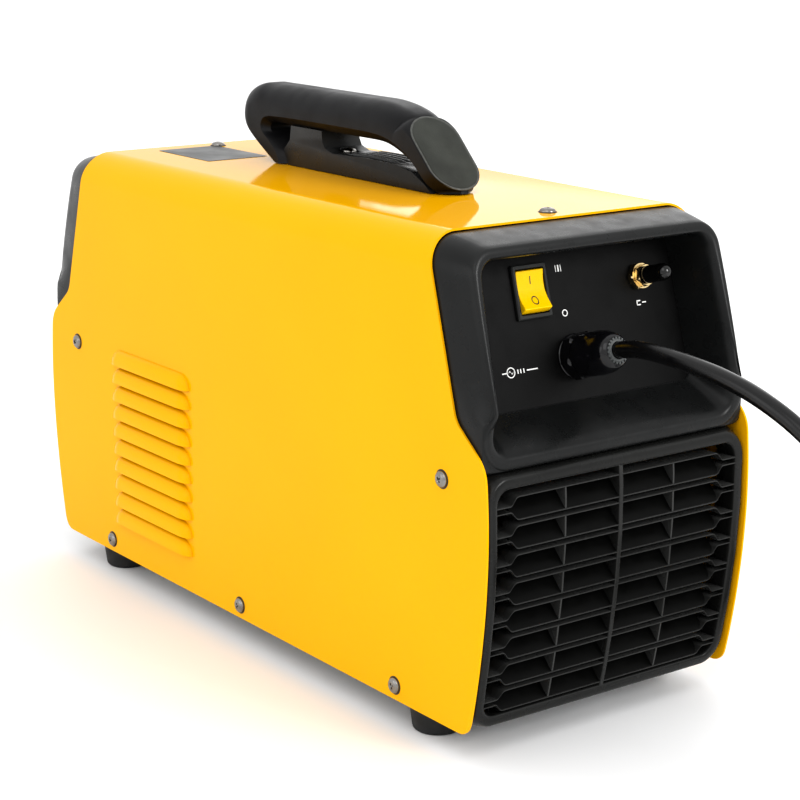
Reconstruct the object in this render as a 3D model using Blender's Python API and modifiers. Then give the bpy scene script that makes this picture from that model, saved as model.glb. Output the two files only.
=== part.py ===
"""TIG welding machine: a portable inverter welder with a folded sheet cover, end bezels and a handle.

The machine stands on its four rubber feet with the origin on the floor under its middle.
+Z is up, the control panel faces -Y and the panel with the mains switch, gas inlet and cord faces +Y.
All sizes are in millimetres here and are turned into metres where a mesh is made.
"""

import math

import bmesh
import bpy
from mathutils import Matrix, Quaternion, Vector
from mathutils.geometry import interpolate_bezier

MM = 0.001
GAP = 0.3                     # clearance between touching pieces
MERGE = 0.00001               # merge distance, in metres

# cover: an inverted U of sheet steel whose side panels are wider at the belt than at the top
COVER_HALF_W = 97.0
COVER_TOP = 289.5
COVER_BOTTOM = 16.3
COVER_SHEET = 1.2
COVER_BEND_R = 20.0
COVER_FOOT_R = 8.0
# one end of the side panel, from the top down: distance from the middle, height
SIDE_EDGE = [
    (190.0, 289.5),
    (218.0, 191.8),
    (244.0, 171.2),
    (246.2, 146.0),
    (246.6, 120.0),
    (244.9, 90.0),
    (241.2, 60.0),
    (237.0, 36.0),
    (232.6, 16.3),
]
EDGE_SLOPE = (218.0 - 190.0) / (289.5 - 191.8)

# louvres pressed into both side panels, near the front
LOUVRE_COUNT = 10
LOUVRE_PITCH = 12.33
LOUVRE_TOP_Z = 152.3          # lower lip of the highest louvre
LOUVRE_Y = (-156.5, -57.0)
LOUVRE_RISE = 10.2
LOUVRE_PROUD = 5.0
LOUVRE_END = 12.0

# screws
SCREW_HEAD_R = 4.7
SCREW_SHANK_R = 2.0
SCREW_HOLE_R = 2.5
SIDE_SCREWS = {
    "rear_upper": (207.1, 157.4),
    "rear_lower": (164.9, 24.9),
    "middle_lower": (0.0, 24.9),
    "front_lower": (-164.9, 24.9),
    "front_upper": (-207.1, 157.4),
}
TOP_SCREW_Y = 175.9

# feet
FOOT_X = 77.5
FOOT_Y = 180.0
FOOT_H = 17.2

# end bezels and grille
BEZEL_HALF_W = 95.4
BEZEL_TOP = 287.9
BEZEL_BOTTOM = 166.2
BEZEL_WALL = 2.6
GRILLE_HALF_W = 95.3
GRILLE_INSET = 1.5            # how far the grille's face lies inside the side panel's edge
GRILLE_TOP = 165.2
GRILLE_BOTTOM = 17.9
CELL_COUNT = 8
CELL_PITCH = 16.15
CELL_TOP = 152.2
CELL_H = 12.6

# slanted panels in the bezels
PANEL_Y = 198.0               # the outer face's distance from the middle at the height PANEL_Z
PANEL_Z = 240.0
PANEL_T = 2.0
PANEL_TILT = math.atan(EDGE_SLOPE)

# handle: stations along the grip from its front foot over the bar to its rear foot,
# each with the outer and the inner edge of the grip in the side view, as (y, z)
GRIP_STATIONS = [
    ((-87.0, 290.3), (-66.8, 290.3)),
    ((-100.0, 297.6), (-70.6, 297.4)),
    ((-112.0, 305.0), (-79.0, 303.8)),
    ((-119.5, 311.5), (-86.0, 308.0)),
    ((-122.0, 319.0), (-88.4, 311.0)),
    ((-120.0, 328.0), (-88.0, 313.5)),
    ((-114.0, 335.0), (-86.0, 315.2)),
    ((-104.0, 339.0), (-82.0, 315.8)),
    ((-90.0, 339.5), (-76.0, 315.8)),
    ((-40.0, 339.5), (-38.0, 315.8)),
    ((12.0, 339.5), (10.0, 315.8)),
    ((28.0, 339.4), (22.0, 315.8)),
    ((40.0, 338.2), (30.0, 315.8)),
    ((50.0, 336.2), (37.0, 315.5)),
    ((57.0, 334.0), (43.0, 314.6)),
    ((61.0, 331.7), (49.0, 313.0)),
    ((66.0, 326.9), (55.0, 310.9)),
    ((72.0, 321.1), (61.0, 308.4)),
    ((78.0, 315.3), (66.5, 305.4)),
    ((84.0, 309.5), (71.5, 302.0)),
    ((90.0, 303.7), (76.5, 298.4)),
    ((95.5, 298.4), (81.0, 295.2)),
    ((99.5, 294.5), (84.5, 292.6)),
    ((101.4, 290.3), (88.0, 290.3)),
]
GRIP_HALF_W = 18.0
GRIP_ROUND = 14.0             # how far the rounding of the bar's outer side reaches
GRIP_CHAMFER = 5.0            # along the edges of the finger window
PAD_HALF_W = 17.5
PAD_R_LONG = 17.5             # the pad's round ends, measured along its slope
PAD_UPPER = (73.3, 319.9)     # centre of its upper round end, as (y, z)
PAD_LOWER = (88.7, 304.9)
PAD_RIM = 0.6
BASE_HALF_W = 14.5
# screws through the handle's base: distance from the middle, height of the flat under the head
HANDLE_SCREWS = {"front": (-18.0, 302.2), "rear": (62.0, 300.4)}

# mains switch, gas inlet and cord gland, each at its distance from the middle and height
SWITCH = (28.0, 250.3)
SWITCH_SIZE = (24.4, 30.6)
SWITCH_CUT_OUT = (22.2, 27.8)
ROCKER_HALF_W = 8.7
ROCKER_AXIS_Z = -1.0          # the rocker's axis lies this far outside the panel's outer face
ROCKER_R = 11.2
ROCKER_FACE_ANGLE = 27.0
ROCKER_TRAVEL = 18.0          # whole travel in degrees; it rests with its lower end out
GAS = (-52.0, 250.0)
GAS_HOLE_R = 5.6
GLAND = (3.0, 212.4)
GLAND_THREAD_R = 9.6
GLAND_BORE_R = 5.6
GLAND_FLANGE_H = 9.5

# control panel
KNOBS = {
    # name: x, height, skirt radius, height of the knob
    "knob_current": (0.0, 215.0, 16.0, 15.0),
    "knob_balance": (-50.0, 252.0, 9.5, 12.0),
    "knob_pulse": (-50.0, 212.0, 9.5, 12.0),
    "knob_slope": (50.0, 212.0, 9.5, 12.0),
}
KNOB_SHAFT_R = 3.0
TOGGLES = {
    "toggle_process": (36.0, 262.0),
    "toggle_output": (54.0, 262.0),
    "toggle_trigger": (54.0, 242.0),
}
TOGGLE_AXIS_Z = -1.6
TOGGLE_REST = 12.0            # degrees below square to the panel
DISPLAY = (2.0, 255.0, 44.0, 20.0)

# connector panel
FACE_Y = 229.0                # the recessed wall's outer face
FACE_T = 3.0
SOCKET_Z = 70.0
SOCKETS = {"output_socket_positive": 54.0, "output_socket_negative": -54.0}
SOCKET_HOLE_R = 16.4
GAS_OUTLET_Z = 52.0
CONTROL_SOCKET_Z = 98.0

# base pan
PAN_HALF_W = 95.4
PAN_T = 1.5
PAN_END = 214.0
PAN_LOW = FOOT_H + GAP
PAN_TOP = 34.0
FLOOR_Z = PAN_LOW + PAN_T + GAP

# fan
FAN_Y = 199.5
FAN_Z = 88.0
FAN_HALF = 60.0
FAN_HALF_DEPTH = 12.5
FAN_R = 56.0
FAN_BLADES = 7
FAN_PITCH = 32.0

# mains cord
CORD_R = 4.8
COIL_CENTRE = (-150.0, 360.0)
COIL_MEAN_R = 55.0
CORD_ROUTE = [
    (3.0, 241.9, 222.8),
    (3.0, 254.0, 225.4),
    (3.0, 268.0, 226.4),
    (2.8, 284.0, 226.0),
    (2.4, 300.0, 224.8),
    (1.8, 318.0, 222.6),
    (1.0, 336.0, 219.0),
    (0.0, 353.0, 213.6),
    (-2.0, 369.0, 206.0),
    (-5.0, 385.0, 195.0),
    (-9.5, 400.0, 180.5),
    (-15.5, 413.0, 163.0),
    (-22.5, 424.0, 143.0),
    (-31.0, 432.5, 121.0),
    (-40.0, 438.5, 98.0),
    (-50.0, 442.5, 75.0),
    (-61.0, 444.5, 53.0),
    (-72.5, 444.0, 33.0),
    (-84.5, 441.0, 17.0),
    (-96.0, 435.5, 7.5),
    (-106.0, 430.0, 4.9),
    (-113.5, 426.6, 4.9),
]
PLUG_X = -214.6
PLUG_Y = 323.0

# how finely the lofted mouldings are divided
CORNER_STEPS = 5
SIDE_STATIONS = 9

# directions of the slanted panels: out of the rear one, and up along it
OUT = Vector((0.0, math.cos(PANEL_TILT), math.sin(PANEL_TILT)))
UPWARD = Vector((0.0, -math.sin(PANEL_TILT), math.cos(PANEL_TILT)))


def metres(point):
    """A point in millimetres as a vector in metres."""
    return Vector(point) * MM


def clear_scene():
    for item in list(bpy.data.objects):
        bpy.data.objects.remove(item)


def new_collection(name):
    made = bpy.data.collections.new(name)
    bpy.context.scene.collection.children.link(made)
    return made


clear_scene()
PARTS = new_collection("tig_welding_machine")
CUTTERS = new_collection("cutters")
CUTTERS.hide_render = True


def material(name, colour, roughness, metallic=0.0):
    made = bpy.data.materials.new(name)
    made.use_nodes = True
    shader = made.node_tree.nodes["Principled BSDF"]
    shader.inputs["Base Color"].default_value = (*colour, 1.0)
    shader.inputs["Roughness"].default_value = roughness
    shader.inputs["Metallic"].default_value = metallic
    made.diffuse_color = (*colour, 1.0)
    return made


YELLOW = (0.86, 0.52, 0.01)
AMBER = (0.9, 0.62, 0.01)
BLACK = (0.022, 0.023, 0.025)
PLASTIC = (0.02, 0.02, 0.02)
RUBBER = (0.015, 0.015, 0.015)
GREY = (0.05, 0.052, 0.055)
STEEL = (0.62, 0.62, 0.62)
BRASS = (0.72, 0.52, 0.20)
ALUMINIUM = (0.70, 0.70, 0.72)
LAMINATE = (0.02, 0.12, 0.05)


def add_object(name, mesh, colour, roughness=0.5, metallic=0.0, collection=None):
    made = bpy.data.objects.new(name, mesh)
    (collection or PARTS).objects.link(made)
    if collection is None:
        made.data.materials.append(material(name, colour, roughness, metallic))
    else:
        made.hide_render = True
        made.display_type = "WIRE"
    return made


def finish_mesh(name, bm):
    bmesh.ops.recalc_face_normals(bm, faces=bm.faces)
    mesh = bpy.data.meshes.new(name)
    bm.to_mesh(mesh)
    bm.free()
    return mesh


def add_box(bm, low, high):
    """A box between two corners, in millimetres."""
    size = [(b - a) * MM for a, b in zip(low, high)]
    centre = [(a + b) / 2 * MM for a, b in zip(low, high)]
    place = Matrix.Translation(centre) @ Matrix.Diagonal((*size, 1.0))
    return bmesh.ops.create_cube(bm, size=1.0, matrix=place)["verts"]


def add_cylinder(bm, radius, start, end, segments=16, end_radius=None):
    """A closed cylinder or cone between two points, in millimetres."""
    a = metres(start)
    b = metres(end)
    turn = (b - a).to_track_quat("Z", "Y").to_matrix().to_4x4()
    place = Matrix.Translation((a + b) / 2) @ turn
    far = radius if end_radius is None else end_radius
    made = bmesh.ops.create_cone(
        bm,
        cap_ends=True,
        segments=segments,
        radius1=radius * MM,
        radius2=far * MM,
        depth=(b - a).length,
        matrix=place,
    )
    return made["verts"]


def box_mesh(name, boxes):
    bm = bmesh.new()
    for low, high in boxes:
        add_box(bm, low, high)
    return finish_mesh(name, bm)


def cylinder_mesh(name, cylinders):
    """Closed cylinders, each (radius, start, end), as one mesh."""
    bm = bmesh.new()
    for radius, start, end in cylinders:
        add_cylinder(bm, radius, start, end)
    return finish_mesh(name, bm)


def local_box(name, boxes, colour, roughness=0.5, metallic=0.0):
    return add_object(name, box_mesh(name, boxes), colour, roughness, metallic)


def smooth(obj, angle=35):
    obj.data.shade_smooth()
    obj.data.set_sharp_from_angle(angle=math.radians(angle))


def bevel(obj, width, segments=1, angle=40):
    made = obj.modifiers.new("rounded_edges", "BEVEL")
    made.width = width * MM
    made.segments = segments
    made.limit_method = "ANGLE"
    made.angle_limit = math.radians(angle)
    return made


def boolean(obj, mesh, operation, label):
    """Cuts the mesh from the object or joins it to it; the mesh is in the object's own coordinates."""
    cutter = add_object(f"{obj.name}_{label}", mesh, None, collection=CUTTERS)
    cutter.parent = obj
    made = obj.modifiers.new(label, "BOOLEAN")
    made.operation = operation
    made.solver = "EXACT"
    made.object = cutter


def turned(name, profile, colour, roughness=0.5, metallic=0.0, steps=24, closed=False):
    """A turned solid about its own Z axis: the profile runs down its outer side, as (radius, height)."""
    bm = bmesh.new()
    verts = [bm.verts.new((r * MM, 0.0, z * MM)) for r, z in profile]
    for a, b in zip(verts, verts[1:]):
        bm.edges.new((a, b))
    if closed:
        bm.edges.new((verts[-1], verts[0]))
    mesh = bpy.data.meshes.new(name)
    bm.to_mesh(mesh)
    bm.free()
    made = add_object(name, mesh, colour, roughness, metallic)
    screw = made.modifiers.new("turned", "SCREW")
    screw.steps = steps
    screw.render_steps = steps
    screw.use_merge_vertices = True
    screw.merge_threshold = MERGE
    screw.use_smooth_shade = True
    return made


def aim(obj, location, direction):
    """Puts the object at a point in millimetres with its own Z axis along the direction."""
    obj.location = metres(location)
    obj.rotation_mode = "QUATERNION"
    obj.rotation_quaternion = Vector(direction).to_track_quat("Z", "Y")


def outline_mesh(name, outline, low, high, axis):
    """A flat closed outline pushed out from low to high along X or Y, made from a filled 2D curve.

    Along X the outline is (y, z); along Y it is (x, z).
    """
    curve = bpy.data.curves.new(name, "CURVE")
    curve.dimensions = "2D"
    curve.fill_mode = "BOTH"
    curve.extrude = (high - low) / 2 * MM
    spline = curve.splines.new("POLY")
    spline.points.add(len(outline) - 1)
    for point, (a, b) in zip(spline.points, outline):
        point.co = (a * MM, b * MM, 0.0, 1.0)
    spline.use_cyclic_u = True
    holder = bpy.data.objects.new(name, curve)
    PARTS.objects.link(holder)
    bpy.context.view_layer.update()
    mesh = bpy.data.meshes.new_from_object(
        holder.evaluated_get(bpy.context.evaluated_depsgraph_get())
    )
    bpy.data.objects.remove(holder)
    middle = (low + high) / 2 * MM
    if axis == "X":
        turn = Matrix(((0, 0, 1, middle), (1, 0, 0, 0), (0, 1, 0, 0), (0, 0, 0, 1)))
    else:
        turn = Matrix(((1, 0, 0, 0), (0, 0, -1, middle), (0, 1, 0, 0), (0, 0, 0, 1)))
    bm = bmesh.new()
    bm.from_mesh(mesh)
    bpy.data.meshes.remove(mesh)
    bmesh.ops.transform(bm, matrix=turn, verts=bm.verts)
    bmesh.ops.remove_doubles(bm, verts=bm.verts, dist=MERGE)
    return finish_mesh(name, bm)


def arc(centre, radius, start, end, steps):
    """Points on an arc, by angle in degrees."""
    found = []
    for i in range(steps + 1):
        angle = math.radians(start + (end - start) * i / steps)
        found.append((centre[0] + radius * math.cos(angle), centre[1] + radius * math.sin(angle)))
    return found


def edge_y(z):
    """The distance from the middle to the end edge of the cover's side panel at a height."""
    if z >= SIDE_EDGE[0][1]:
        return SIDE_EDGE[0][0]
    for (ya, za), (yb, zb) in zip(SIDE_EDGE, SIDE_EDGE[1:]):
        if za >= z >= zb:
            return ya + (yb - ya) * (za - z) / (za - zb)
    return SIDE_EDGE[-1][0]


def panel_y(z, proud=0.0):
    """The slanted panel's outer face at a height, or a plane that much further out along Y."""
    return PANEL_Y - EDGE_SLOPE * (z - PANEL_Z) + proud


def rim_y(z):
    """The bezel's rim: slanted like the cover's edge above the belt, upright below it."""
    slanted = 219.4 + 0.291 * (282.6 - z)
    upright = 240.6
    if z >= 200.0:
        return slanted
    if z >= 192.0:
        share = (200.0 - z) / 8.0
        return slanted * (1 - share) + upright * share
    return upright


# ---------------------------------------------------------------- lofted frames

def frame_loop(half_top, half_bottom, top, bottom, r_top, r_bottom, y_at, sides=None):
    """A closed loop of points round a frame: a rounded trapezium seen from the end, its y from its height.

    sides gives the heights down each side, or (height, half width) where the side isn't straight.
    """
    def half(z):
        return half_top + (half_bottom - half_top) * (top - z) / (top - bottom)

    if sides is None:
        first = top - r_top
        last = bottom + r_bottom
        sides = [first + (last - first) * (i + 1) / (SIDE_STATIONS + 1) for i in range(SIDE_STATIONS)]
    right = arc((half_top - r_top, top - r_top), r_top, 90, 0, CORNER_STEPS)
    for item in sides:
        x, z = (item[1], item[0]) if isinstance(item, tuple) else (half(item), item)
        right.append((x, z))
    right += arc((half_bottom - r_bottom, bottom + r_bottom), r_bottom, 0, -90, CORNER_STEPS)
    left = [(-x, z) for x, z in reversed(right)]
    return [(x, y_at(z), z) for x, z in right + left]


def loft_ring(loops):
    """Bridges closed loops in turn and the last to the first, which leaves a frame with an open middle."""
    bm = bmesh.new()
    rings = [[bm.verts.new(metres(p)) for p in loop] for loop in loops]
    count = len(rings[0])
    for ring, following in zip(rings, rings[1:] + rings[:1]):
        for i in range(count):
            j = (i + 1) % count
            bm.faces.new((ring[i], ring[j], following[j], following[i]))
    return bm


def bezel_mesh(name):
    """The moulded frame round a slanted panel, as seen at the +Y end."""
    flank = [258, 240, 222, 210, 203, 197, 190, 183, 176]
    collar = [252, 236, 221, 210, 204.5, 198.8, 193, 188, 184.5]
    ridge = [
        (256, 90.3),
        (243, 90.6),
        (227, 90.7),
        (215, 90.6),
        (207, 90.3),
        (198.5, 90.6),
        (194.5, 93.6),
        (190.5, 94.7),
        (186.5, 94.9),
    ]

    def lip(z):
        return edge_y(max(z, 192)) - 11

    def skirt(z):
        return min(edge_y(z), 240.0) - 1.0

    def collar_at(z):
        """The narrow band beside the cover's edge, which widens below the end of the slanted flank."""
        if z > 210:
            return edge_y(z) + 4.2
        return min(239.6, 220.8 + (210 - z) * 1.06)

    def deeper(amount):
        return lambda z: rim_y(z) - amount

    def on_panel(proud):
        return lambda z: panel_y(z, proud)

    half = BEZEL_HALF_W
    loops = [
        frame_loop(half, half, BEZEL_TOP, BEZEL_BOTTOM, 18.6, 4, lip, flank),
        frame_loop(half, half, BEZEL_TOP, BEZEL_BOTTOM, 18.6, 4, skirt, flank),
        frame_loop(half - 0.1, half - 0.3, BEZEL_TOP - 0.4, BEZEL_BOTTOM + 0.1, 18.2, 17, collar_at, collar),
        frame_loop(89.2, 94.9, 282.7, BEZEL_BOTTOM + 0.4, 14, 18, rim_y, ridge),
        frame_loop(84.5, 88.6, 277.5, 173.2, 10.5, 12, deeper(0.4)),
        frame_loop(82.2, 86.0, 275.4, 176.6, 9, 10, deeper(3.6)),
        frame_loop(77.6, 79.5, 272.5, 189.5, 7, 6, on_panel(GAP)),
        frame_loop(83.0, 85.0, 278.5, 182.5, 9, 6, on_panel(GAP)),
        frame_loop(83.0, 85.0, 278.5, 182.5, 9, 6, on_panel(GAP + 2.2)),
        frame_loop(80.4, 82.3, 275.2, 186.6, 7, 6, on_panel(GAP + 2.4)),
        frame_loop(84.8, 88.6, 278.2, 173.0, 9, 10, deeper(6.5)),
        frame_loop(89.2, 91.5, 282.4, 170.4, 12, 12, deeper(9)),
        frame_loop(half - BEZEL_WALL, half - BEZEL_WALL, 285.0, 169.0, 16, 3, lambda z: skirt(z) - 3, None),
        frame_loop(half - BEZEL_WALL, half - BEZEL_WALL, 285.0, 169.0, 16, 3, lip, None),
    ]
    return finish_mesh(name, loft_ring(loops))


def end_frame(y_end, name, mesh, roughness=0.55):
    """Adds a moulding made for the +Y end, turned round for the -Y end."""
    made = add_object(name, mesh, BLACK, roughness)
    made.rotation_euler = (0, 0, 0 if y_end > 0 else math.pi)
    return made


def make_bezels():
    for name, end in (("rear_bezel", 1), ("front_bezel", -1)):
        made = end_frame(end, name, bezel_mesh(name))
        smooth(made)


def grille_y(inset):
    return lambda z: edge_y(z) - GRILLE_INSET - inset


def rim_loops(depth):
    """The rounded rectangular rim that both lower end panels share."""
    half = GRILLE_HALF_W
    low = GRILLE_BOTTOM
    top = GRILLE_TOP
    return [
        frame_loop(half, half - 1.0, top, low, 6, 6, grille_y(depth)),
        frame_loop(half, half - 1.0, top, low, 14, 14, grille_y(4)),
        frame_loop(93.6, 92.6, 163.4, 18.6, 14, 14, grille_y(0)),
        frame_loop(88.6, 87.8, 157.6, 24.2, 9.5, 9.5, grille_y(0)),
        frame_loop(87.8, 87.0, 156.9, 24.9, 9, 9, grille_y(1.2)),
        frame_loop(87.8, 87.0, 156.9, 24.9, 9, 9, grille_y(depth)),
    ]


def make_grille():
    """The rear air outlet: slanted blades behind a rim, with three upright ribs."""
    bm = loft_ring(rim_loops(15.0))
    made = end_frame(1, "rear_grille", finish_mesh("rear_grille", bm))
    for index in range(CELL_COUNT):
        top = CELL_TOP - CELL_PITCH * index
        low = top - CELL_H
        face = grille_y(1.0)(low)
        blade = [
            (face, low),
            (face - 12.2, low + 13.4),
            (face - 13.2, low + 12.6),
            (face - 1.4, low - 0.9),
        ]
        mesh = outline_mesh(f"blade_{index}", blade, -89.6, 89.6, "X")
        boolean(made, mesh, "UNION", f"blade_{index + 1}")
    ribs = bmesh.new()
    for x in (-40.0, 0.0, 40.0):
        add_box(ribs, (x - 0.9, 218.0, 22.0), (x + 0.9, 229.5, 160.0))
    boolean(made, finish_mesh("ribs", ribs), "UNION", "ribs")
    back = [(y - GRILLE_INSET - 1.6, z) for y, z in SIDE_EDGE[2:]]
    back = [(back[0][0], 166.5)] + back[1:]
    keep = back + [(214.0, 17.0), (214.0, 166.5)]
    boolean(made, outline_mesh("keep", keep, -96.0, 96.0, "X"), "INTERSECT", "trim")
    smooth(made, 30)
    return made


# ---------------------------------------------------------------- cover and base

def side_outline():
    """The cover's side panel seen from the side, as (y, z)."""
    foot_y = SIDE_EDGE[-1][0]
    foot = arc((foot_y - COVER_FOOT_R, COVER_BOTTOM + COVER_FOOT_R), COVER_FOOT_R, 8, -90, 4)
    above = 6.0
    top = (SIDE_EDGE[0][0] - above * EDGE_SLOPE, COVER_TOP + above)
    half = [top] + SIDE_EDGE[1:-1] + foot
    return half + [(-y, z) for y, z in reversed(half)]


def make_cover():
    """Folds the sheet, trims its ends, and presses the louvres."""
    low = COVER_BOTTOM - 8
    half = COVER_HALF_W
    r = COVER_BEND_R
    bend = arc((half - r, COVER_TOP - r), r, 0, 90, 8)
    section = [(half, low)] + bend
    section = section + [(-x, z) for x, z in reversed(section)]
    bm = bmesh.new()
    reach = 262.0
    first = [bm.verts.new(metres((x, -reach, z))) for x, z in section]
    edges = [bm.edges.new((a, b)) for a, b in zip(first, first[1:])]
    made = bmesh.ops.extrude_edge_only(bm, edges=edges)
    moved = [v for v in made["geom"] if isinstance(v, bmesh.types.BMVert)]
    bmesh.ops.translate(bm, verts=moved, vec=(0, 2 * reach * MM, 0))
    bm.normal_update()
    outward = sum((f.normal.x * f.calc_center_median().x for f in bm.faces), 0.0)
    if outward < 0:
        bmesh.ops.reverse_faces(bm, faces=bm.faces)
    mesh = bpy.data.meshes.new("cover")
    bm.to_mesh(mesh)
    bm.free()
    cover = add_object("cover", mesh, YELLOW, 0.22)
    shell = cover.modifiers.new("sheet", "SOLIDIFY")
    shell.thickness = COVER_SHEET * MM
    shell.offset = -1.0
    boolean(cover, outline_mesh("side_shape", side_outline(), -110, 110, "X"), "INTERSECT", "trim")
    boolean(cover, louvre_mesh(0.0), "UNION", "louvres")
    boolean(cover, louvre_mesh(COVER_SHEET), "DIFFERENCE", "louvre_slots")
    holes = []
    for y, z in SIDE_SCREWS.values():
        for side in (-1, 1):
            holes.append((SCREW_HOLE_R, (side * 92, y, z), (side * 100, y, z)))
    for y in (-TOP_SCREW_Y, TOP_SCREW_Y):
        holes.append((SCREW_HOLE_R, (0, y, COVER_TOP - 5), (0, y, COVER_TOP + 4)))
    for y, _ in HANDLE_SCREWS.values():
        holes.append((SCREW_HOLE_R, (0, y, COVER_TOP - 5), (0, y, COVER_TOP + 4)))
    boolean(cover, cylinder_mesh("screw_holes", holes), "DIFFERENCE", "screw_holes")
    smooth(cover, 28)
    return cover


def louvre_pod(side, lip, wall):
    """One louvre hood, or with a wall thickness the hollow inside it: a drawn-out ball cut off flat."""
    y_low, y_high = LOUVRE_Y
    middle = (y_low + y_high) / 2
    straight = (y_high - y_low) / 2 - LOUVRE_END
    bm = bmesh.new()
    bmesh.ops.create_uvsphere(bm, u_segments=8, v_segments=6, radius=1.0)
    for vert in bm.verts:
        # the ball's poles lie along Y, and its middle is drawn out along them
        z, x, y = vert.co
        along = y * (LOUVRE_END - wall)
        along += math.copysign(straight, y) if abs(y) > 0.01 else straight
        out = COVER_HALF_W * side + x * (LOUVRE_PROUD - wall)
        vert.co = metres((out, middle + along, lip + z * (LOUVRE_RISE - wall)))
    floor = lip - (0.6 if wall else 0.0)
    back = side * (COVER_HALF_W - COVER_SHEET * (1.6 if wall else 0.5))
    for point, outward in (((0, 0, floor), (0, 0, -1)), ((back, 0, 0), (-side, 0, 0))):
        made = bmesh.ops.bisect_plane(
            bm,
            geom=[*bm.verts, *bm.edges, *bm.faces],
            dist=MERGE,
            plane_co=metres(point),
            plane_no=outward,
            clear_outer=True,
        )
        rim = [e for e in made["geom_cut"] if isinstance(e, bmesh.types.BMEdge)]
        bmesh.ops.holes_fill(bm, edges=rim)
    return finish_mesh("louvre", bm)


def louvre_mesh(wall):
    """All louvres of both sides as one mesh."""
    bm = bmesh.new()
    for side in (-1, 1):
        for index in range(LOUVRE_COUNT):
            pod = louvre_pod(side, LOUVRE_TOP_Z - LOUVRE_PITCH * index, wall)
            bm.from_mesh(pod)
            bpy.data.meshes.remove(pod)
    return finish_mesh("louvres", bm)


def make_base_pan():
    """A folded tray that carries the inside parts, with side flanges that the cover screws into."""
    tray = [((-PAN_HALF_W, -PAN_END, PAN_LOW), (PAN_HALF_W, PAN_END, PAN_TOP))]
    pan = local_box("base_pan", tray, GREY, 0.6, 0.4)
    half_w = PAN_HALF_W - PAN_T
    half_l = PAN_END - PAN_T
    inside = [((-half_w, -half_l, PAN_LOW + PAN_T), (half_w, half_l, PAN_TOP + 5))]
    boolean(pan, box_mesh("pan_inside", inside), "DIFFERENCE", "inside")
    holes = []
    for label in ("rear_lower", "middle_lower", "front_lower"):
        y, z = SIDE_SCREWS[label]
        for side in (-1, 1):
            holes.append((SCREW_HOLE_R, (side * 90, y, z), (side * 99, y, z)))
    boolean(pan, cylinder_mesh("pan_holes", holes), "DIFFERENCE", "screw_holes")
    return pan


def make_feet():
    profile = [
        (0, FOOT_H),
        (16.4, FOOT_H),
        (16.0, 14.0),
        (14.6, 2.4),
        (13.2, 0.5),
        (12.4, 0.0),
        (6.0, 0.0),
        (5.4, 4.0),
        (0, 4.0),
    ]
    for y, end in ((FOOT_Y, "rear"), (-FOOT_Y, "front")):
        for x, side in ((-FOOT_X, "left"), (FOOT_X, "right")):
            foot = turned(f"foot_{end}_{side}", profile, RUBBER, 0.8, steps=16)
            foot.location = metres((x, y, 0))


def screw_profile(length):
    return [
        (0, 2.1),
        (3.2, 1.6),
        (SCREW_HEAD_R, 0.5),
        (SCREW_HEAD_R, 0.0),
        (SCREW_SHANK_R, 0.0),
        (SCREW_SHANK_R, -length),
        (0, -length),
    ]


def make_screws():
    for side, x in (("right", COVER_HALF_W), ("left", -COVER_HALF_W)):
        for label, (y, z) in SIDE_SCREWS.items():
            length = 4.2 if "upper" in label else 6.5
            made = turned(f"side_screw_{side}_{label}", screw_profile(length), STEEL, 0.25, 1.0, steps=10)
            sign = 1 if x > 0 else -1
            aim(made, (x + sign * GAP, y, z), (sign, 0, 0))
    for label, y in (("rear", TOP_SCREW_Y), ("front", -TOP_SCREW_Y)):
        made = turned(f"top_screw_{label}", screw_profile(6.0), STEEL, 0.25, 1.0, steps=10)
        aim(made, (0, y, COVER_TOP + GAP), (0, 0, 1))


# ---------------------------------------------------------------- handle

def along_pad(point):
    """How far a point of the side view lies beyond the pad's lower centre, measured down its slope."""
    slope = (Vector(PAD_LOWER) - Vector(PAD_UPPER)).normalized()
    return (Vector(point) - Vector(PAD_LOWER)).dot(slope)


def pad_half_width(point, half_w=PAD_HALF_W):
    """The pad's half width at a point of the side view: a stadium, nothing beyond its round ends."""
    length = (Vector(PAD_LOWER) - Vector(PAD_UPPER)).length
    s = along_pad(point)
    beyond = max(s, -length - s, 0.0)
    if beyond >= PAD_R_LONG:
        return 0.0
    return half_w * math.sqrt(1.0 - (beyond / PAD_R_LONG) ** 2)


def grip_half_width(point, flat):
    """The grip's half width, which grows from the bar's to the pad's and ends in the pad's round end."""
    if along_pad(point) > 0:
        return max(pad_half_width(point, PAD_HALF_W + PAD_RIM), 3.0)
    return GRIP_HALF_W + (PAD_HALF_W + PAD_RIM - GRIP_HALF_W) * flat / PAD_HALF_W


def grip_section(outer, inner):
    """One section of the grip: rounded or with the pad's flat outside, chamfered inside."""
    a = Vector(outer)
    b = Vector(inner)
    depth = (b - a).length
    flat = min(pad_half_width(outer), PAD_HALF_W)
    half_w = grip_half_width(outer, flat)
    reach = PAD_RIM + (GRIP_ROUND - PAD_RIM) * (1.0 - flat / PAD_HALF_W)
    reach = min(reach, depth - GRIP_CHAMFER - 1.0)
    if along_pad(outer) > 0:
        reach = PAD_RIM
    level = min(flat, half_w - PAD_RIM)
    if flat == 0.0:
        level = max(half_w - GRIP_ROUND, 0.5)
    half = [(0.0, level)]
    steps = 4
    for k in range(1, steps + 1):
        angle = math.pi / 2 * k / steps
        half.append((reach * (1 - math.cos(angle)), level + (half_w - level) * math.sin(angle)))
    half.append((depth - GRIP_CHAMFER, None))
    half.append((depth, None))
    points = []
    for inward, x in half:
        place = a + (b - a) * inward / depth
        if x is None:
            x = grip_half_width(place, flat)
            if inward == depth:
                x = min(x, GRIP_HALF_W) - GRIP_CHAMFER
        points.append(Vector((x, place.x, place.y)))
    return points + [Vector((-p.x, p.y, p.z)) for p in reversed(points)]


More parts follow.
